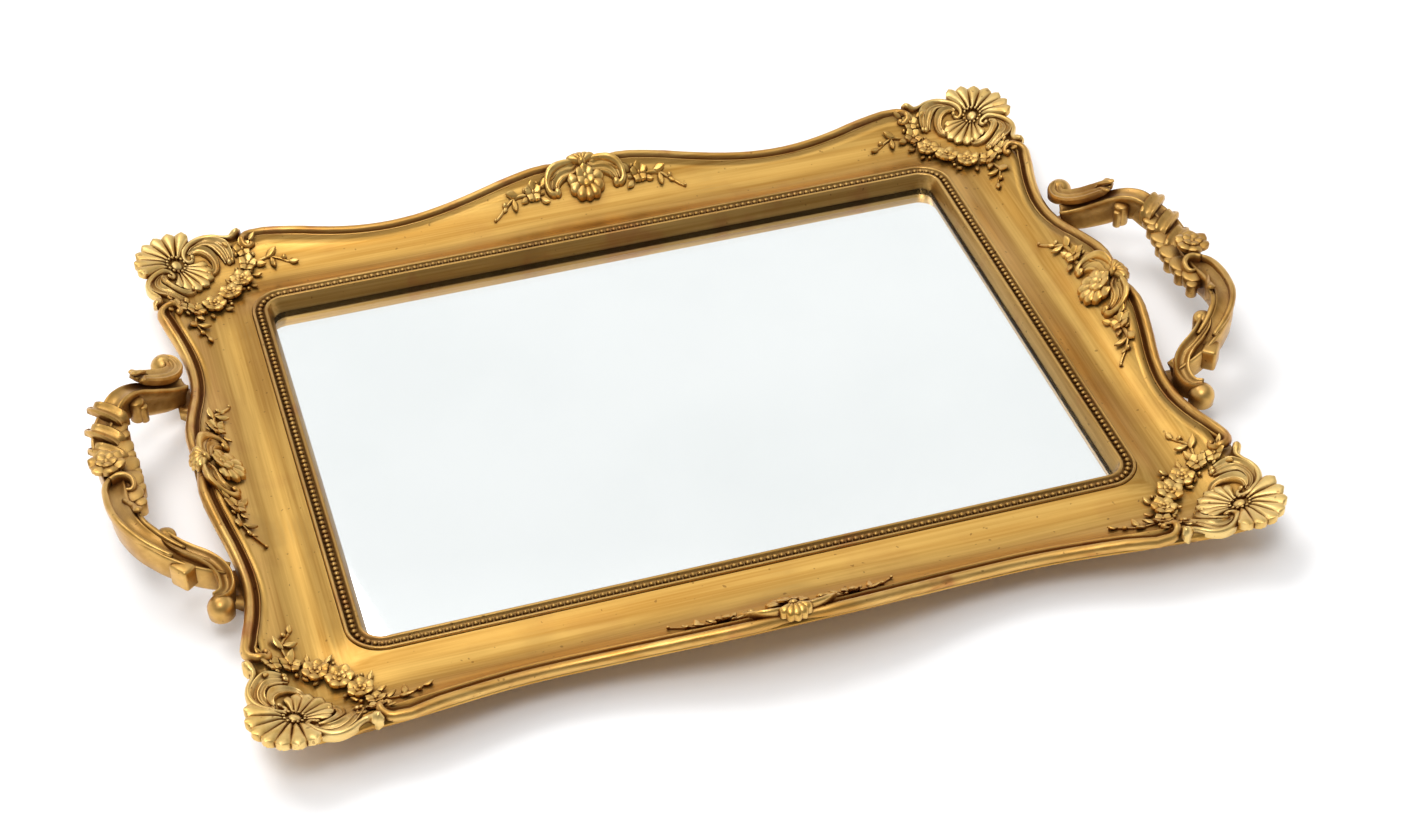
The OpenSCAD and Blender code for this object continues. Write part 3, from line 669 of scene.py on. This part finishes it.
# ---- corner cartouches and garlands, drawn for the far right corner from its boss ----
# places are (right of the boss, far of the boss), and the other half is the same, mirrored in the diagonal
cornerSpec = {
    "bossOut": (28.4, 29.2),
    "shellLobes": 7, "shellSpread": 62, "shellFoot": 4.3, "shellSink": 1.6, "bossLift": 1.0,
    "pearls": {"count": 13, "ring": 3.7, "lift": 2.2},
    "band": [(-5.6, 6.4, 0.55), (-8.4, 9.3, 0.8), (-12.4, 10.6, 1.0), (-16.6, 9.4, 1.08), (-19.8, 6.2, 1.1),
             (-21.6, 2.4, 0.95), (-22.0, -0.6, 0.7)],
    "outerRidge": [(-29.3, 12.9, 0.55), (-27.8, 12.1, 1.25), (-26.2, 11.0, 1.3), (-24.2, 10.2, 0.8),
                   (-21.4, 11.0, 0.75), (-17.4, 13.1, 0.85), (-12.6, 13.6, 0.95), (-8.2, 11.8, 0.95),
                   (-5.0, 8.4, 0.9), (-3.6, 4.8, 0.8), (-4.6, 2.4, 0.7), (-6.6, 2.4, 0.6), (-7.2, 3.9, 0.5)],
    "smallScroll": [(-7.4, 6.2, 0.5), (-9.6, 6.6, 0.75), (-12.8, 5.4, 0.95), (-15.4, 2.4, 1.0),
                    (-16.2, -1.2, 0.9), (-15.0, -4.0, 0.72), (-12.7, -4.8, 0.55)],
    "middlePalm": {"place": (-2.4, -2.4), "lift": 0.2},
    "palm": [(17, 1.0), (32, 0.9), (46, 0.75)],  # turn from the diagonal, size
    "palmFoot": 3.2, "palmLift": 0.1,
    "endBuds": {"smallScroll": (1.2, 0.9), "outerRidge": (0.9, 1.2), "band": (1.1, 0.7)},  # size, lift
    "roses": [(-25.2, -11.6, 20, 1.02), (-19.2, -19.2, 50, 1.08)],
    "flowers": [(-28.6, 3.0, 10, 0.95), (-29.3, -3.6, 40, 1.05)], "flowerLift": 0.5,
    "leafLift": 0.2, "leafTilt": 6, "budLift": 0.9,
    "sprig": [(-30.5, -3.6, 1.0), (-34.5, -2.6, 0.9), (-38.5, -2.0, 0.8), (-42.5, -3.2, 0.7),
              (-46.5, -5.6, 0.6), (-50.2, -6.8, 0.4)],
    "leaves": [(-32.0, -3.4, 205, 1.0), (-37.6, -2.2, 152, 1.0), (-39.6, -2.8, 262, 0.95),
               (-46.8, -5.8, 196, 0.75), (-24.4, -6.6, 335, 0.7), (-22.6, -16.6, 215, 0.7),
               (-28.6, -15.4, 235, 0.75), (-30.3, -9.4, 190, 0.75), (-21.4, -12.0, 40, 0.7),
               (-24.8, 5.4, 20, 0.8), (-31.6, 5.8, 150, 0.7)],
    "buds": [(-23.4, -0.4, 1.0), (-24.2, -4.8, 0.85), (-25.4, 1.6, 0.8), (-45.0, -3.7, 0.95),
             (-32.4, 0.2, 0.8), (-29.8, -7.2, 0.75), (-23.2, -17.6, 0.7), (-27.0, -18.4, 0.75)],
}


def flipDiagonal(piece):
    # mirrors a piece, drawn from the boss, in the corner's diagonal
    piece.data.transform(Matrix(((0, 1, 0, 0), (1, 0, 0, 0), (0, 0, 1, 0), (0, 0, 0, 1))))
    piece.data.flip_normals()
    return piece


def bothHalves(parts):
    return parts + [flipDiagonal(meshCopy(part, part.name + "Twin")) for part in parts]


def flat(stations, lift=0.0):
    return [(x, y, lift, size) for x, y, size in stations]


def cartoucheParts(spec):
    middle = (0, 0)
    shell = fan("shellLobe", middle, spec["shellFoot"], 45, spec["shellSpread"], spec["shellLobes"],
                -spec["shellSink"])
    centre = [stamped(pattern["boss"], middle, 0, 1.0, spec["bossLift"])]
    pearls, palm = spec["pearls"], spec["middlePalm"]
    for k in range(pearls["count"]):
        place = onRing(middle, pearls["ring"], 45 + 360 * k / pearls["count"])
        centre.append(stamped(pattern["tinyPip"], place, 0, 1.0, pearls["lift"]))
    centre.append(stamped(pattern["palmLeaf"], palm["place"], 225, 1.0, palm["lift"]))
    half = [
        swept("band", bandProfile, flat(spec["band"])),
        swept("outerRidge", ridgeProfile, flat(spec["outerRidge"], 0.5)),
        swept("smallScroll", smallScrollProfile, flat(spec["smallScroll"], 0.4)),
    ]
    for scroll, (size, lift) in spec["endBuds"].items():
        half.append(stamped(pattern["bud"], spec[scroll][-1][:2], 0, size, lift))
    for turn, size in spec["palm"]:
        foot = onRing(middle, spec["palmFoot"], 225 - turn)
        half.append(stamped(pattern["palmLeaf"], foot, 225 - turn, size, spec["palmLift"]))
    return shell + centre + bothHalves(half)


def foliage(spec):
    leaves = [stamped(pattern["leaf"], (x, y), turn, size, spec["leafLift"], spec["leafTilt"])
              for x, y, turn, size in spec["leaves"]]
    buds = [stamped(pattern["bud"], (x, y), 0, size, spec["budLift"]) for x, y, size in spec["buds"]]
    return leaves + buds


def garlandParts(spec):
    sideRose, middleRose = (rose((x, y), turn, size) for x, y, turn, size in spec["roses"])
    half = [swept("sprigStem", stemProfile, flat(spec["sprig"], 0.3))] + sideRose
    for x, y, turn, size in spec["flowers"]:
        half += flower((x, y), "starPetal", 5, turn, size, spec["flowerLift"])
    return bothHalves(half + foliage(spec)) + middleRose


def mirroredTo(piece, name, fx, fy):
    made = meshCopy(piece, name)
    made.data.transform(Matrix.Diagonal((fx, fy, 1, 1)))
    if fx * fy < 0:
        made.data.flip_normals()
    return made


def addCorners(spec):
    boss = [s / mm + out for s, out in zip(sightHalf, spec["bossOut"])]
    for kind, parts, look in (("Cartouche", cartoucheParts(spec), "shell"),
                              ("Garland", garlandParts(spec), "ornament")):
        first = joined("corner" + kind, parts)
        first.data.transform(Matrix.Translation((boss[0] * mm, boss[1] * mm, 0)))
        smooth(settled(first), 50)
        for side, fx, fy in (("fl", -1, 1), ("fr", 1, 1), ("nl", -1, -1), ("nr", 1, -1)):
            made = mirroredTo(first, f"corner{kind}_{side}", fx, fy)
            finished(made, made.name, gilt[look], "gilt_ornament", f"corner_{kind.lower()}_{side}")
        print("corner", kind.lower(), len(first.data.polygons), "faces each")
        bpy.data.objects.remove(first)


addCorners(cornerSpec)

# ---- rolls along the rim: round outer ridge, groove, thin inner bead, ends curled inwards ----
rollSpec = {
    "every": 3,  # takes every third station of the frame's own roll
    "stopAt": (143.0, 100.0),  # last station, along a long and a short side
    "curl": [(147.0, 148.0, 5.2, 0.92), (149.8, 146.3, 5.0, 0.8), (150.6, 143.6, 4.6, 0.68),
             (149.2, 141.6, 4.2, 0.56), (147.6, 141.9, 3.9, 0.5)],
    "shortCurl": 1.2,  # how much nearer to the middle a curl is on a short side
    "curlRise": 0.3,  # the most that a curl may rise from one station to the next
    "dip": (14.0, 1.3, 1.2),  # half length, inward and down, where the crest's shell lies over the roll
    "tip": (1.35, 1.2),  # size and sink of the bud that closes a curl
}
rollProfile = profileOf("rollProfile", [
    (-3.2, -3.5), (-3.2, -2.1), (-2.95, -1.6), (-2.65, -1.4), (-2.35, -1.7), (-2.15, -2.7), (-1.6, -3.1),
    (-1.05, -2.5), (-0.75, -1.2), (-0.1, -0.3), (0.7, 0.0), (1.5, -0.15), (2.3, -0.75), (2.85, -1.6),
    (3.1, -2.6), (2.9, -3.5)])
shortShift = 42.5  # a short side's ornament lies this much further out than a long side's


def rollStations(nodeName, along, spec):
    rings = {}
    for vertex in nodes[nodeName].data.vertices:
        at, out, height = (vertex.co[axis] / mm for axis in (along, 1 - along, 2))
        rings.setdefault(round(at, 1), []).append((out, height))
    kept = [at for at in sorted(rings) if 0 <= at < spec["stopAt"][along]][::spec["every"]]
    half = []
    for at in kept:
        outs, heights = zip(*rings[at])
        reach, inward, down = spec["dip"]
        shell = max(0, 1 - (at / reach) ** 2)
        half.append((at, (min(outs) + max(outs)) / 2 - inward * shell, max(heights) - down * shell, 1.0))
    for x, y, above, size in spec["curl"]:
        if along == 1:
            x, y = x - shortShift - spec["shortCurl"], y + shortShift
        ground = float(groundAt(*((x, y) if along == 0 else (y, x))))
        half.append((x, y, min(ground + above * size, half[-1][2] + spec["curlRise"]), size))
    return half


def addRolls(spec):
    for nodeName, along, other, turn in (("rim_roll_far", 0, "rim_roll_near", (1, -1)),
                                         ("rim_roll_right", 1, "rim_roll_left", (-1, 1))):
        half = rollStations(nodeName, along, spec)
        whole = [(-at, out, z, size) for at, out, z, size in reversed(half[1:])] + half
        if along == 0:
            whole = [(at, out, z, size) for at, out, z, size in reversed(whole)]
        else:
            whole = [(out, at, z, size) for at, out, z, size in whole]
        size, sink = spec["tip"]
        tips = [stamped(pattern["bud"], end[:2], 0, size, end[2] - sink) for end in (whole[0], whole[-1])]
        roll = joined(nodeName + "Smooth", [swept(nodeName, rollProfile, whole, 3)] + tips)
        smooth(roll, 60)
        twin = mirroredTo(roll, other + "Smooth", *turn)
        finished(roll, nodeName + "Smooth", gilt["rim"], "gilt_moulding", nodeName)
        finished(twin, other + "Smooth", gilt["rim"], "gilt_moulding", other)


addRolls(rollSpec)
print("rim rolls made")

# ---- crests and sprays in the middle of each side, drawn for the far side as (along, out) ----
crestSpec = {
    "shell": (0, 145.2), "shellLobes": 5, "shellSpread": 50,
    "scroll": [(1.6, 147.2, 0.45), (4.2, 144.9, 0.7), (7.4, 144.6, 0.95), (11.0, 143.9, 1.05),
               (13.8, 141.6, 1.0), (14.6, 138.9, 0.75)],
    "ridge": [(0.9, 148.8, 0.5), (4.2, 147.6, 0.75), (8.4, 147.3, 0.95), (12.6, 146.2, 1.05),
              (16.0, 143.6, 1.05), (17.2, 140.2, 0.95), (15.8, 137.4, 0.85), (13.4, 137.2, 0.6)],
    "outerLeaf": [(12.0, 144.6, 0.5), (15.2, 143.6, 0.8), (18.4, 142.6, 0.7), (21.2, 141.8, 0.3)],
    "scrollBud": (13.3, 137.4, 1.5, 1.3),  # along, out, size, lift
    "shellBud": (0, 145.6, 1.6, 2.6), "rosetteBud": (0, 139.9, 1.2, 3.6),
    "rosette": (0, 139.9), "rosetteLift": 0.6, "petalLift": 2.4, "petalTilt": 8,
    # turns from straight inwards, and sizes
    "rosetteLobes": [(0, 1.0), (31, 1.05), (-31, 1.05), (62, 1.05), (-62, 1.05), (93, 1.0), (-93, 1.0)],
    "innerPetals": [(150, 0.935), (210, 0.935), (90, 0.88), (270, 0.88), (30, 0.88), (330, 0.88)],
}
spraySpec = {
    "stem": [(19.0, 139.0, 1.0), (24.0, 138.6, 1.0), (29.6, 139.2, 1.0), (33.5, 138.3, 0.9),
             (37.5, 135.7, 0.85), (40.5, 133.2, 0.8), (43.0, 131.4, 0.6)],
    "flower": (24.0, 139.0, 20, 1.0), "flowerLift": 0.8,
    "leafLift": 0.3, "leafTilt": 8, "budLift": 0.9,
    "leaves": [(21.2, 137.0, 218, 0.85), (26.2, 138.0, -30, 0.8), (20.4, 140.8, 150, 0.85),
               (31.0, 139.5, 6, 0.95), (33.0, 138.0, -88, 0.95), (36.6, 136.4, -52, 0.6)],
    "buds": [(37.4, 136.6, 1.0), (27.6, 140.6, 0.75), (21.6, 142.2, 0.75), (43.0, 131.6, 0.6)],
}


def twinAlong(parts):
    return parts + [mirroredTo(part, part.name + "Twin", -1, 1) for part in parts]


def budAt(spec):
    along, out, size, lift = spec
    return stamped(pattern["bud"], (along, out), 0, size, lift)


def crestParts(spec):
    shell = fan("crestLobe", spec["shell"], 0.0, 90, spec["shellSpread"], spec["shellLobes"], 0.0)
    heart = spec["rosette"]
    rosette = [stamped(pattern["rosetteLobe"], heart, 270 + turn, size, spec["rosetteLift"])
               for turn, size in spec["rosetteLobes"]]
    rosette += [stamped(pattern["roundPetal"], heart, turn, size, spec["petalLift"], spec["petalTilt"])
                for turn, size in spec["innerPetals"]]
    rosette += [budAt(spec["rosetteBud"]), budAt(spec["shellBud"])]
    half = [
        swept("crestScroll", bandProfile, flat(spec["scroll"], 0.4)),
        swept("crestRidge", ridgeProfile, flat(spec["ridge"], 1.0)),
        swept("crestLeaf", smallScrollProfile, flat(spec["outerLeaf"], 0.4)),
        budAt(spec["scrollBud"]),
    ]
    return shell + rosette + twinAlong(half)


def sprayParts(spec):
    x, y, turn, size = spec["flower"]
    parts = [swept("sprayStem", stemProfile, flat(spec["stem"], 0.4))]
    return parts + flower((x, y), "starPetal", 5, turn, size, spec["flowerLift"]) + foliage(spec)


def toShortSide(piece, name):
    made = meshCopy(piece, name)
    made.data.transform(Matrix(((0, 1, 0, shortShift * mm), (1, 0, 0, 0), (0, 0, 1, 0), (0, 0, 0, 1))))
    made.data.flip_normals()
    return made


def sideNames(kind, onLong):
    # nodes that a crest or spray stands for, with the mirrorings that bring it there
    if kind == "crest":
        sides = (("far", 1, 1), ("near", 1, -1)) if onLong else (("right", 1, 1), ("left", -1, 1))
        return [(f"centre_crest_{side}", fx, fy) for side, fx, fy in sides]
    names = []
    for fx, fy in ((1, 1), (1, -1), (-1, 1), (-1, -1)):
        across, deep = "right" if fx > 0 else "left", "far" if fy > 0 else "near"
        names.append((f"spray_{deep}_{across}" if onLong else f"spray_{across}_{deep}", fx, fy))
    return names


def addSides():
    for kind, parts in (("crest", crestParts(crestSpec)), ("spray", sprayParts(spraySpec))):
        flatPiece = joined(kind, parts)
        for onLong in (True, False):
            first = meshCopy(flatPiece, "long") if onLong else toShortSide(flatPiece, "short")
            smooth(settled(first), 50)
            for nodeName, fx, fy in sideNames(kind, onLong):
                made = mirroredTo(first, nodeName + "Cast", fx, fy)
                finished(made, nodeName + "Cast", gilt["ornament"], "gilt_ornament", nodeName)
            bpy.data.objects.remove(first)
        bpy.data.objects.remove(flatPiece)


addSides()
print("crests and sprays made")

# ---- handles, drawn for the right one; places are millimetres in the frame ----
handleSpec = {
    "strap": [(189.0, 57.0, 19.6, 0.85), (196.0, 54.2, 22.0, 0.95), (203.0, 50.0, 26.5, 1.0),
              (209.2, 45.6, 31.0, 1.0), (213.8, 41.2, 33.4, 1.0), (217.8, 36.8, 33.6, 1.0),
              (221.2, 32.8, 31.0, 1.0), (224.2, 28.0, 28.6, 1.0), (225.7, 22.0, 27.2, 1.0),
              (225.5, 14.0, 26.2, 1.0), (224.5, 4.0, 27.0, 1.0), (223.8, -8.0, 28.4, 1.0),
              (224.0, -18.0, 30.2, 1.0), (223.4, -26.0, 31.4, 1.0), (221.7, -34.0, 32.2, 1.0),
              (218.3, -41.0, 31.4, 1.0), (213.2, -46.6, 29.4, 0.98), (207.4, -51.0, 27.0, 0.95),
              (201.0, -54.5, 24.6, 0.9), (189.5, -57.5, 20.4, 0.85)],
    "leafBand": [(208.6, 48.6, 34.0, 0.55), (205.6, 50.6, 32.0, 1.0), (201.2, 53.6, 28.6, 1.1),
                 (196.4, 57.4, 25.2, 1.1), (192.8, 62.0, 22.8, 1.0), (191.6, 67.0, 21.6, 0.85),
                 (193.6, 71.4, 21.8, 0.65), (197.4, 72.4, 21.4, 0.5)],
    "fork": [(210.6, -42.0, 29.4, 0.7), (207.6, -46.0, 28.0, 0.95), (203.0, -49.8, 26.4, 1.0),
             (197.4, -53.2, 24.4, 1.0), (193.4, -57.6, 22.4, 1.0), (191.9, -63.2, 20.8, 0.95),
             (193.2, -68.4, 20.2, 0.85), (197.0, -70.6, 20.4, 0.6)],
    "edge": [(225.4, -4.6, 29.6, 0.55), (227.4, -9.0, 30.2, 0.85), (228.0, -17.0, 31.4, 1.0),
             (227.2, -26.0, 32.4, 1.0), (225.0, -34.6, 33.2, 1.0), (221.0, -41.8, 32.4, 0.95),
             (215.4, -47.6, 30.2, 0.85), (209.0, -52.4, 27.8, 0.6)],
    "curlOne": [(225.6, -5.0, 29.8, 0.8), (222.4, -3.4, 30.0, 0.95), (218.6, -4.6, 29.8, 0.95),
                (216.8, -8.4, 29.2, 0.9), (218.0, -11.8, 28.6, 0.75), (220.6, -11.6, 28.4, 0.6)],
    "innerEdge": [(217.4, -31.0, 32.0, 0.6), (216.2, -35.6, 31.8, 0.85), (213.2, -40.2, 30.8, 0.9),
                  (208.8, -44.8, 28.8, 0.8), (204.0, -48.6, 26.8, 0.5)],
    "curlTwo": [(222.0, -19.0, 30.4, 0.6), (219.4, -24.0, 31.6, 0.9), (217.6, -28.8, 32.6, 0.9),
                (216.8, -32.6, 32.2, 0.5)],
    "ribbons": [(223.4, 34.0, 31.6), (226.0, 24.6, 28.6), (226.2, 14.6, 27.2)],
    # way of a ribbon over the strap, from each of those places: right, far, up, size
    "ribbonWay": [(1.4, 5.2, -4.6, 0.7), (3.0, 4.8, -1.8, 1.2), (2.0, 3.4, -0.2, 1.5),
                  (-1.2, 0.6, 0.1, 1.7), (-4.6, -2.4, -0.4, 1.75), (-7.0, -4.6, -1.9, 1.6),
                  (-8.0, -5.6, -5.6, 1.2)],
    "lobes": [(219.6, 28.0, 28.6, 1.0), (219.2, 17.6, 26.6, 1.05), (218.4, 7.2, 26.2, 1.05),
              (218.2, -3.2, 27.2, 1.05), (218.6, -12.8, 28.0, 0.9)],
    "lobeSize": 10.2, "lobeDepth": 11.0, "lobeDome": 0.2,
    "rib": {"from": (-2.6, -4.8, -0.8), "size": 5.4, "depth": 9.0, "dome": 0.3},  # beside each lobe
    # domed posts: place, size, depth, dome
    "posts": {
        "lug": ((209.8, 39.6, 29.6), 6.48, 13.0, 0.4), "lugTip": ((207.4, 38.0, 27.4), 3.6, 9.6, 0.4),
        "volute": ((209.8, -40.6, 30.0), 7.872, 12.0, 0.7),
        "farBall": ((195.6, 72.0, 22.6), 10.5, 11.0, 1.0),
        "nearBall": ((195.8, -72.2, 20.6), 10.5, 11.0, 1.0),
        "calyx": ((225.4, 3.6, 29.4), 9.0, 6.0, 0.4),
    },
    # two rings of petals: count, turn, size, lift above the calyx, tilt
    "flower": [(6, 20, 1.5, -0.8, 0), (5, 50, 0.92, 0.9, 6)],
    # acanthus leaves: place, turn, size, lift, tilt
    "leaves": [((203.6, 51.8), -38, 0.62, 32.2, 26), ((203.0, 53.0), 6, 0.60, 29.6, 20),
               ((204.0, 50.6), -74, 0.52, 31.0, 20), ((220.0, -24.0), 250, 0.72, 30.4, 22)],
    "block": {"place": (206.4, -56.2, 20.8), "size": (6.4, 8.6, 9.6), "turn": -38, "bevel": 1.3},
    "legTop": 10.9,  # the tongue and the leg under the rim keep the frame's own shape up to here
    "drum": {"taper": 0.10, "foot": 0.6, "rounding": 0.2, "ball": 0.8},  # how a post is drawn down
}
strapProfile = profileOf("strapProfile", [
    (-3.0, -11.6), (-3.9, -10.2), (-4.15, -6.0), (-4.1, -1.6), (-3.8, -0.3), (-3.2, 0.15), (-2.6, -0.15),
    (-1.8, -0.7), (0.0, -0.95), (1.8, -0.7), (2.6, -0.15), (3.2, 0.15), (3.8, -0.3), (4.1, -1.6),
    (3.3, -4.0), (3.0, -6.5), (3.5, -9.6), (3.2, -11.2), (2.4, -12.0), (-2.2, -12.2)])
leafProfile = profileOf("leafProfile", [
    (-3.4, -2.6), (-3.7, -0.6), (-3.4, 0.35), (-2.85, 0.5), (-2.3, 0.0), (-1.7, -0.4), (-1.1, 0.0),
    (-0.6, 0.55), (-0.1, 0.35), (0.5, -0.35), (1.2, -0.6), (1.9, -0.1), (2.5, 0.8), (3.0, 1.15), (3.5, 0.7),
    (3.8, -0.4), (3.4, -2.6)])
forkProfile = profileOf("forkProfile", [
    (-2.7, -9.0), (-3.1, -4.0), (-3.2, 0.2), (-2.8, 0.9), (-2.2, 0.85), (-1.7, 0.0), (-0.9, -0.9), (0, -1.2),
    (0.9, -0.9), (1.7, 0.0), (2.2, 0.85), (2.8, 0.9), (3.2, 0.2), (3.1, -4.0), (2.7, -9.0)])
lipProfile = profileOf("lipProfile", [
    (-1.5, -2.2), (-1.55, 0.2), (-1.2, 0.9), (-0.5, 1.25), (0.3, 1.2), (0.9, 0.7), (1.2, -0.1),
    (1.25, -2.2)])
tallLipProfile = profileOf("tallLipProfile", [
    (-1.6, -7.5), (-1.7, -1.0), (-1.45, 0.4), (-0.7, 1.1), (0.1, 1.1), (0.8, 0.4), (1.0, -1.0), (1.1, -7.5)])
ribbonProfile = profileOf("ribbonProfile", [
    (-1.9, -1.4), (-1.95, 0.1), (-1.6, 0.65), (-1.1, 0.55), (-0.5, 0.15), (0.1, 0.15), (0.7, 0.6),
    (1.3, 0.95), (1.8, 0.6), (1.95, -0.2), (1.9, -1.4)])


def drum(name, at, size, depth, dome):
    # domed post with a rounded foot: an upright ball whose lower half is drawn down
    shape, radius = handleSpec["drum"], size / 2 * mm
    made = added(bpy.ops.mesh.primitive_uv_sphere_add, name, segments=24, ring_count=14, radius=radius)
    places = points(made)
    low = places[:, 2] < 0
    places[~low, 2] *= dome
    places[low, :2] *= (1 - shape["taper"] * (-places[low, 2:] / radius))
    drawn = (depth - size * shape["ball"]) * mm * np.minimum(-places[low, 2] / (shape["rounding"] * mm), 1)
    places[low, 2] = places[low, 2] * shape["foot"] - drawn
    places += np.array([at[0], at[1], at[2] - dome * size / 2]) * mm
    setPoints(made, places)
    return made


def handleLeg(spec):
    # tongue and leg under the rim, cut from the frame's own handle
    leg = weld(meshCopy(nodes["handle_right"], "handleLeg"), 0.01)
    cut = {"plane_co": (0, 0, spec["legTop"] * mm), "plane_no": (0, 0, 1)}
    return edited(leg, (bpy.ops.mesh.bisect, {**cut, "clear_outer": True, "use_fill": True}))


def handleBlock(block):
    # square web between the strap and the fork
    web = added(bpy.ops.mesh.primitive_cube_add, "web", size=1)
    web.data.transform(
        Matrix.Translation([s * mm for s in block["place"]])
        @ Matrix.Rotation(math.radians(block["turn"]), 4, "Z")
        @ Matrix.Diagonal([s * mm for s in block["size"]] + [1]))
    return modified(web, "BEVEL", width=block["bevel"] * mm, segments=3)


def handleParts(spec):
    sweeps = {"strap": strapProfile, "leafBand": leafProfile, "fork": forkProfile, "edge": lipProfile,
              "innerEdge": lipProfile, "curlOne": tallLipProfile, "curlTwo": tallLipProfile}
    parts = [swept(part, profile, spec[part], 6) for part, profile in sweeps.items()]
    parts.append(handleLeg(spec))
    for x, y, top in spec["ribbons"]:
        way = [(x + right, y + far, top + up, size) for right, far, up, size in spec["ribbonWay"]]
        parts.append(swept("ribbon", ribbonProfile, way, 5))
    rib = spec["rib"]
    for x, y, top, size in spec["lobes"]:
        parts.append(drum("lobe", (x, y, top), spec["lobeSize"] * size, spec["lobeDepth"], spec["lobeDome"]))
        beside = [a + b for a, b in zip((x, y, top), rib["from"])]
        parts.append(drum("lobeRib", beside, rib["size"] * size, rib["depth"], rib["dome"]))
    parts += [drum(name, *post) for name, post in spec["posts"].items()]
    x, y, base = spec["posts"]["calyx"][0]
    for count, turn, size, lift, tilt in spec["flower"]:
        parts += flower((x, y), "roundPetal", count, turn, size, base + lift, tilt, 0.1, "bud")
    parts += [stamped(pattern["palmLeaf"], *leaf) for leaf in spec["leaves"]]
    return parts + [handleBlock(spec["block"])]


def addHandles(spec):
    handle = smooth(joined("handle_rightCast", handleParts(spec)), 45)
    twin = mirroredTo(handle, "handle_leftCast", -1, 1)
    finished(handle, "handle_rightCast", gilt["handle"], "gilt_handle", "handle_right")
    finished(twin, "handle_leftCast", gilt["handle"], "gilt_handle", "handle_left")
    print("handle:", len(handle.data.polygons), "faces")


addHandles(handleSpec)
print("handles made")

# ---- glass, silvering and what lies behind ----
def dress(look, *nodeNames):
    # nodes that are seen as they are only take a material
    for nodeName in nodeNames:
        nodes[nodeName].data.materials.clear()
        nodes[nodeName].data.materials.append(look)


fibreLooks = {  # material, dark and pale colour, size of the grain along each axis, roughness, bump
    "packing_sheet": ("packingCard", (0.36, 0.26, 0.16), (0.50, 0.38, 0.25), (3, 3, 3), 0.9, 0.3),
    "base_frame": ("frameWood", (0.30, 0.16, 0.07), (0.50, 0.31, 0.15), (60, 3, 3), 0.6, 0.4),
    "backing_board": ("backBoard", (0.17, 0.10, 0.055), (0.27, 0.17, 0.10), (7, 1.2, 1.2), 0.75, 0.3),
    "felt_pads": ("padFelt", (0.05, 0.045, 0.04), (0.11, 0.10, 0.09), (0.8, 0.8, 0.8), 0.95, 0.8),
}
# material, scale and detail of its clouds, where they begin and end, two colours, roughness and its spread
silverLook = ("mirrorSilver", 9.0, 4.0, (0.35, 0.75), (0.96, 0.965, 0.97), (0.92, 0.93, 0.935), 0.012, 0.02)
steelLook = ("screwSteel", 900.0, 2.0, (0.4, 0.7), (0.42, 0.40, 0.36), (0.62, 0.61, 0.58), 0.28, 0.2)
plateSpec = {"bevel": 0.5, "clearOfSilver": 0.05}


def glassMaterial():
    material, shader, wire = shaderOf("plateGlass")
    place = wire.node("TexCoord", {}, {}, "Object")
    film = wire.node("TexNoise", {}, {"Vector": place, "Scale": 14.0, "Detail": 3.0})
    setSockets(shader, {"Base Color": (0.97, 0.985, 0.98, 1), "Roughness": film.between(0.3, 0.9) * 0.02,
                        "Transmission Weight": 1.0, "IOR": 1.5})
    return material


def metalMaterial(name, scale, detail, reach, first, second, rough, spread):
    # bare metal, clouded between two colours
    material, shader, wire = shaderOf(name)
    place = wire.node("TexCoord", {}, {}, "Object")
    cloud = wire.node("TexNoise", {}, {"Vector": place, "Scale": scale, "Detail": detail})
    tint = wire.node("Mix", {"data_type": "RGBA"}, {
        "Factor": cloud.between(*reach), 6: rgba(first), 7: rgba(second)}, 2)
    setSockets(shader, {"Base Color": tint, "Metallic": 1.0, "Roughness": rough + cloud * spread})
    return material


def fibreMaterial(name, dark, pale, sizes, rough, bump):
    # card, wood, board or felt: two colours mixed by noise drawn out to the given sizes
    material, shader, wire = shaderOf(name)
    place = wire.node("TexCoord", {}, {}, "Object")
    drawn = wire.node("Mapping", {}, {"Vector": place, "Scale": [1 / (s * mm) for s in sizes]})
    grain = wire.node("TexNoise", {}, {"Vector": drawn, "Scale": 1.0, "Detail": 5.0, "Roughness": 0.6})
    tint = wire.node("Mix", {"data_type": "RGBA"}, {
        "Factor": grain.between(0.35, 0.7), 6: rgba(dark), 7: rgba(pale)}, 2)
    raised = wire.node("Bump", {}, {"Strength": bump, "Distance": 0.0004, "Height": grain}, "Normal")
    setSockets(shader, {"Base Color": tint, "Roughness": (rough - 0.1) + grain * 0.2, "Normal": raised})
    return material


def addGlass(spec):
    # the plate with its edges ground to a small bevel
    plate = weld(meshCopy(nodes["mirror_glass"], "mirrorPlate"))
    places = points(plate)
    underside = places[:, 2] < glassTop - 1 * mm
    places[underside, 2] += spec["clearOfSilver"] * mm
    setPoints(plate, places)
    turned = math.radians(60)
    modified(plate, "BEVEL", width=spec["bevel"] * mm, segments=2, limit_method="ANGLE", angle_limit=turned)
    return finished(plate, "mirrorPlate", glassMaterial(), "glass", "mirror_glass")


addGlass(plateSpec)
dress(metalMaterial(*silverLook), "mirror_silvering")
for fibreNode, fibreLook in fibreLooks.items():
    dress(fibreMaterial(*fibreLook), fibreNode)
dress(metalMaterial(*steelLook), "board_screws", "handle_screws")
print("glass, silvering, board, screws and pads finished")


# ---- floor and end ----
def addFloor(size):
    floor = added(bpy.ops.mesh.primitive_plane_add, "floor", size=size, location=(0, 0, 0))
    material, shader, wire = shaderOf("floorPaper")
    setSockets(shader, {"Base Color": (0.93, 0.93, 0.935, 1), "Roughness": 0.9})
    floor.data.materials.append(material)


addFloor(studio["floorSize"])
for spare in scratch:
    bpy.data.objects.remove(spare)
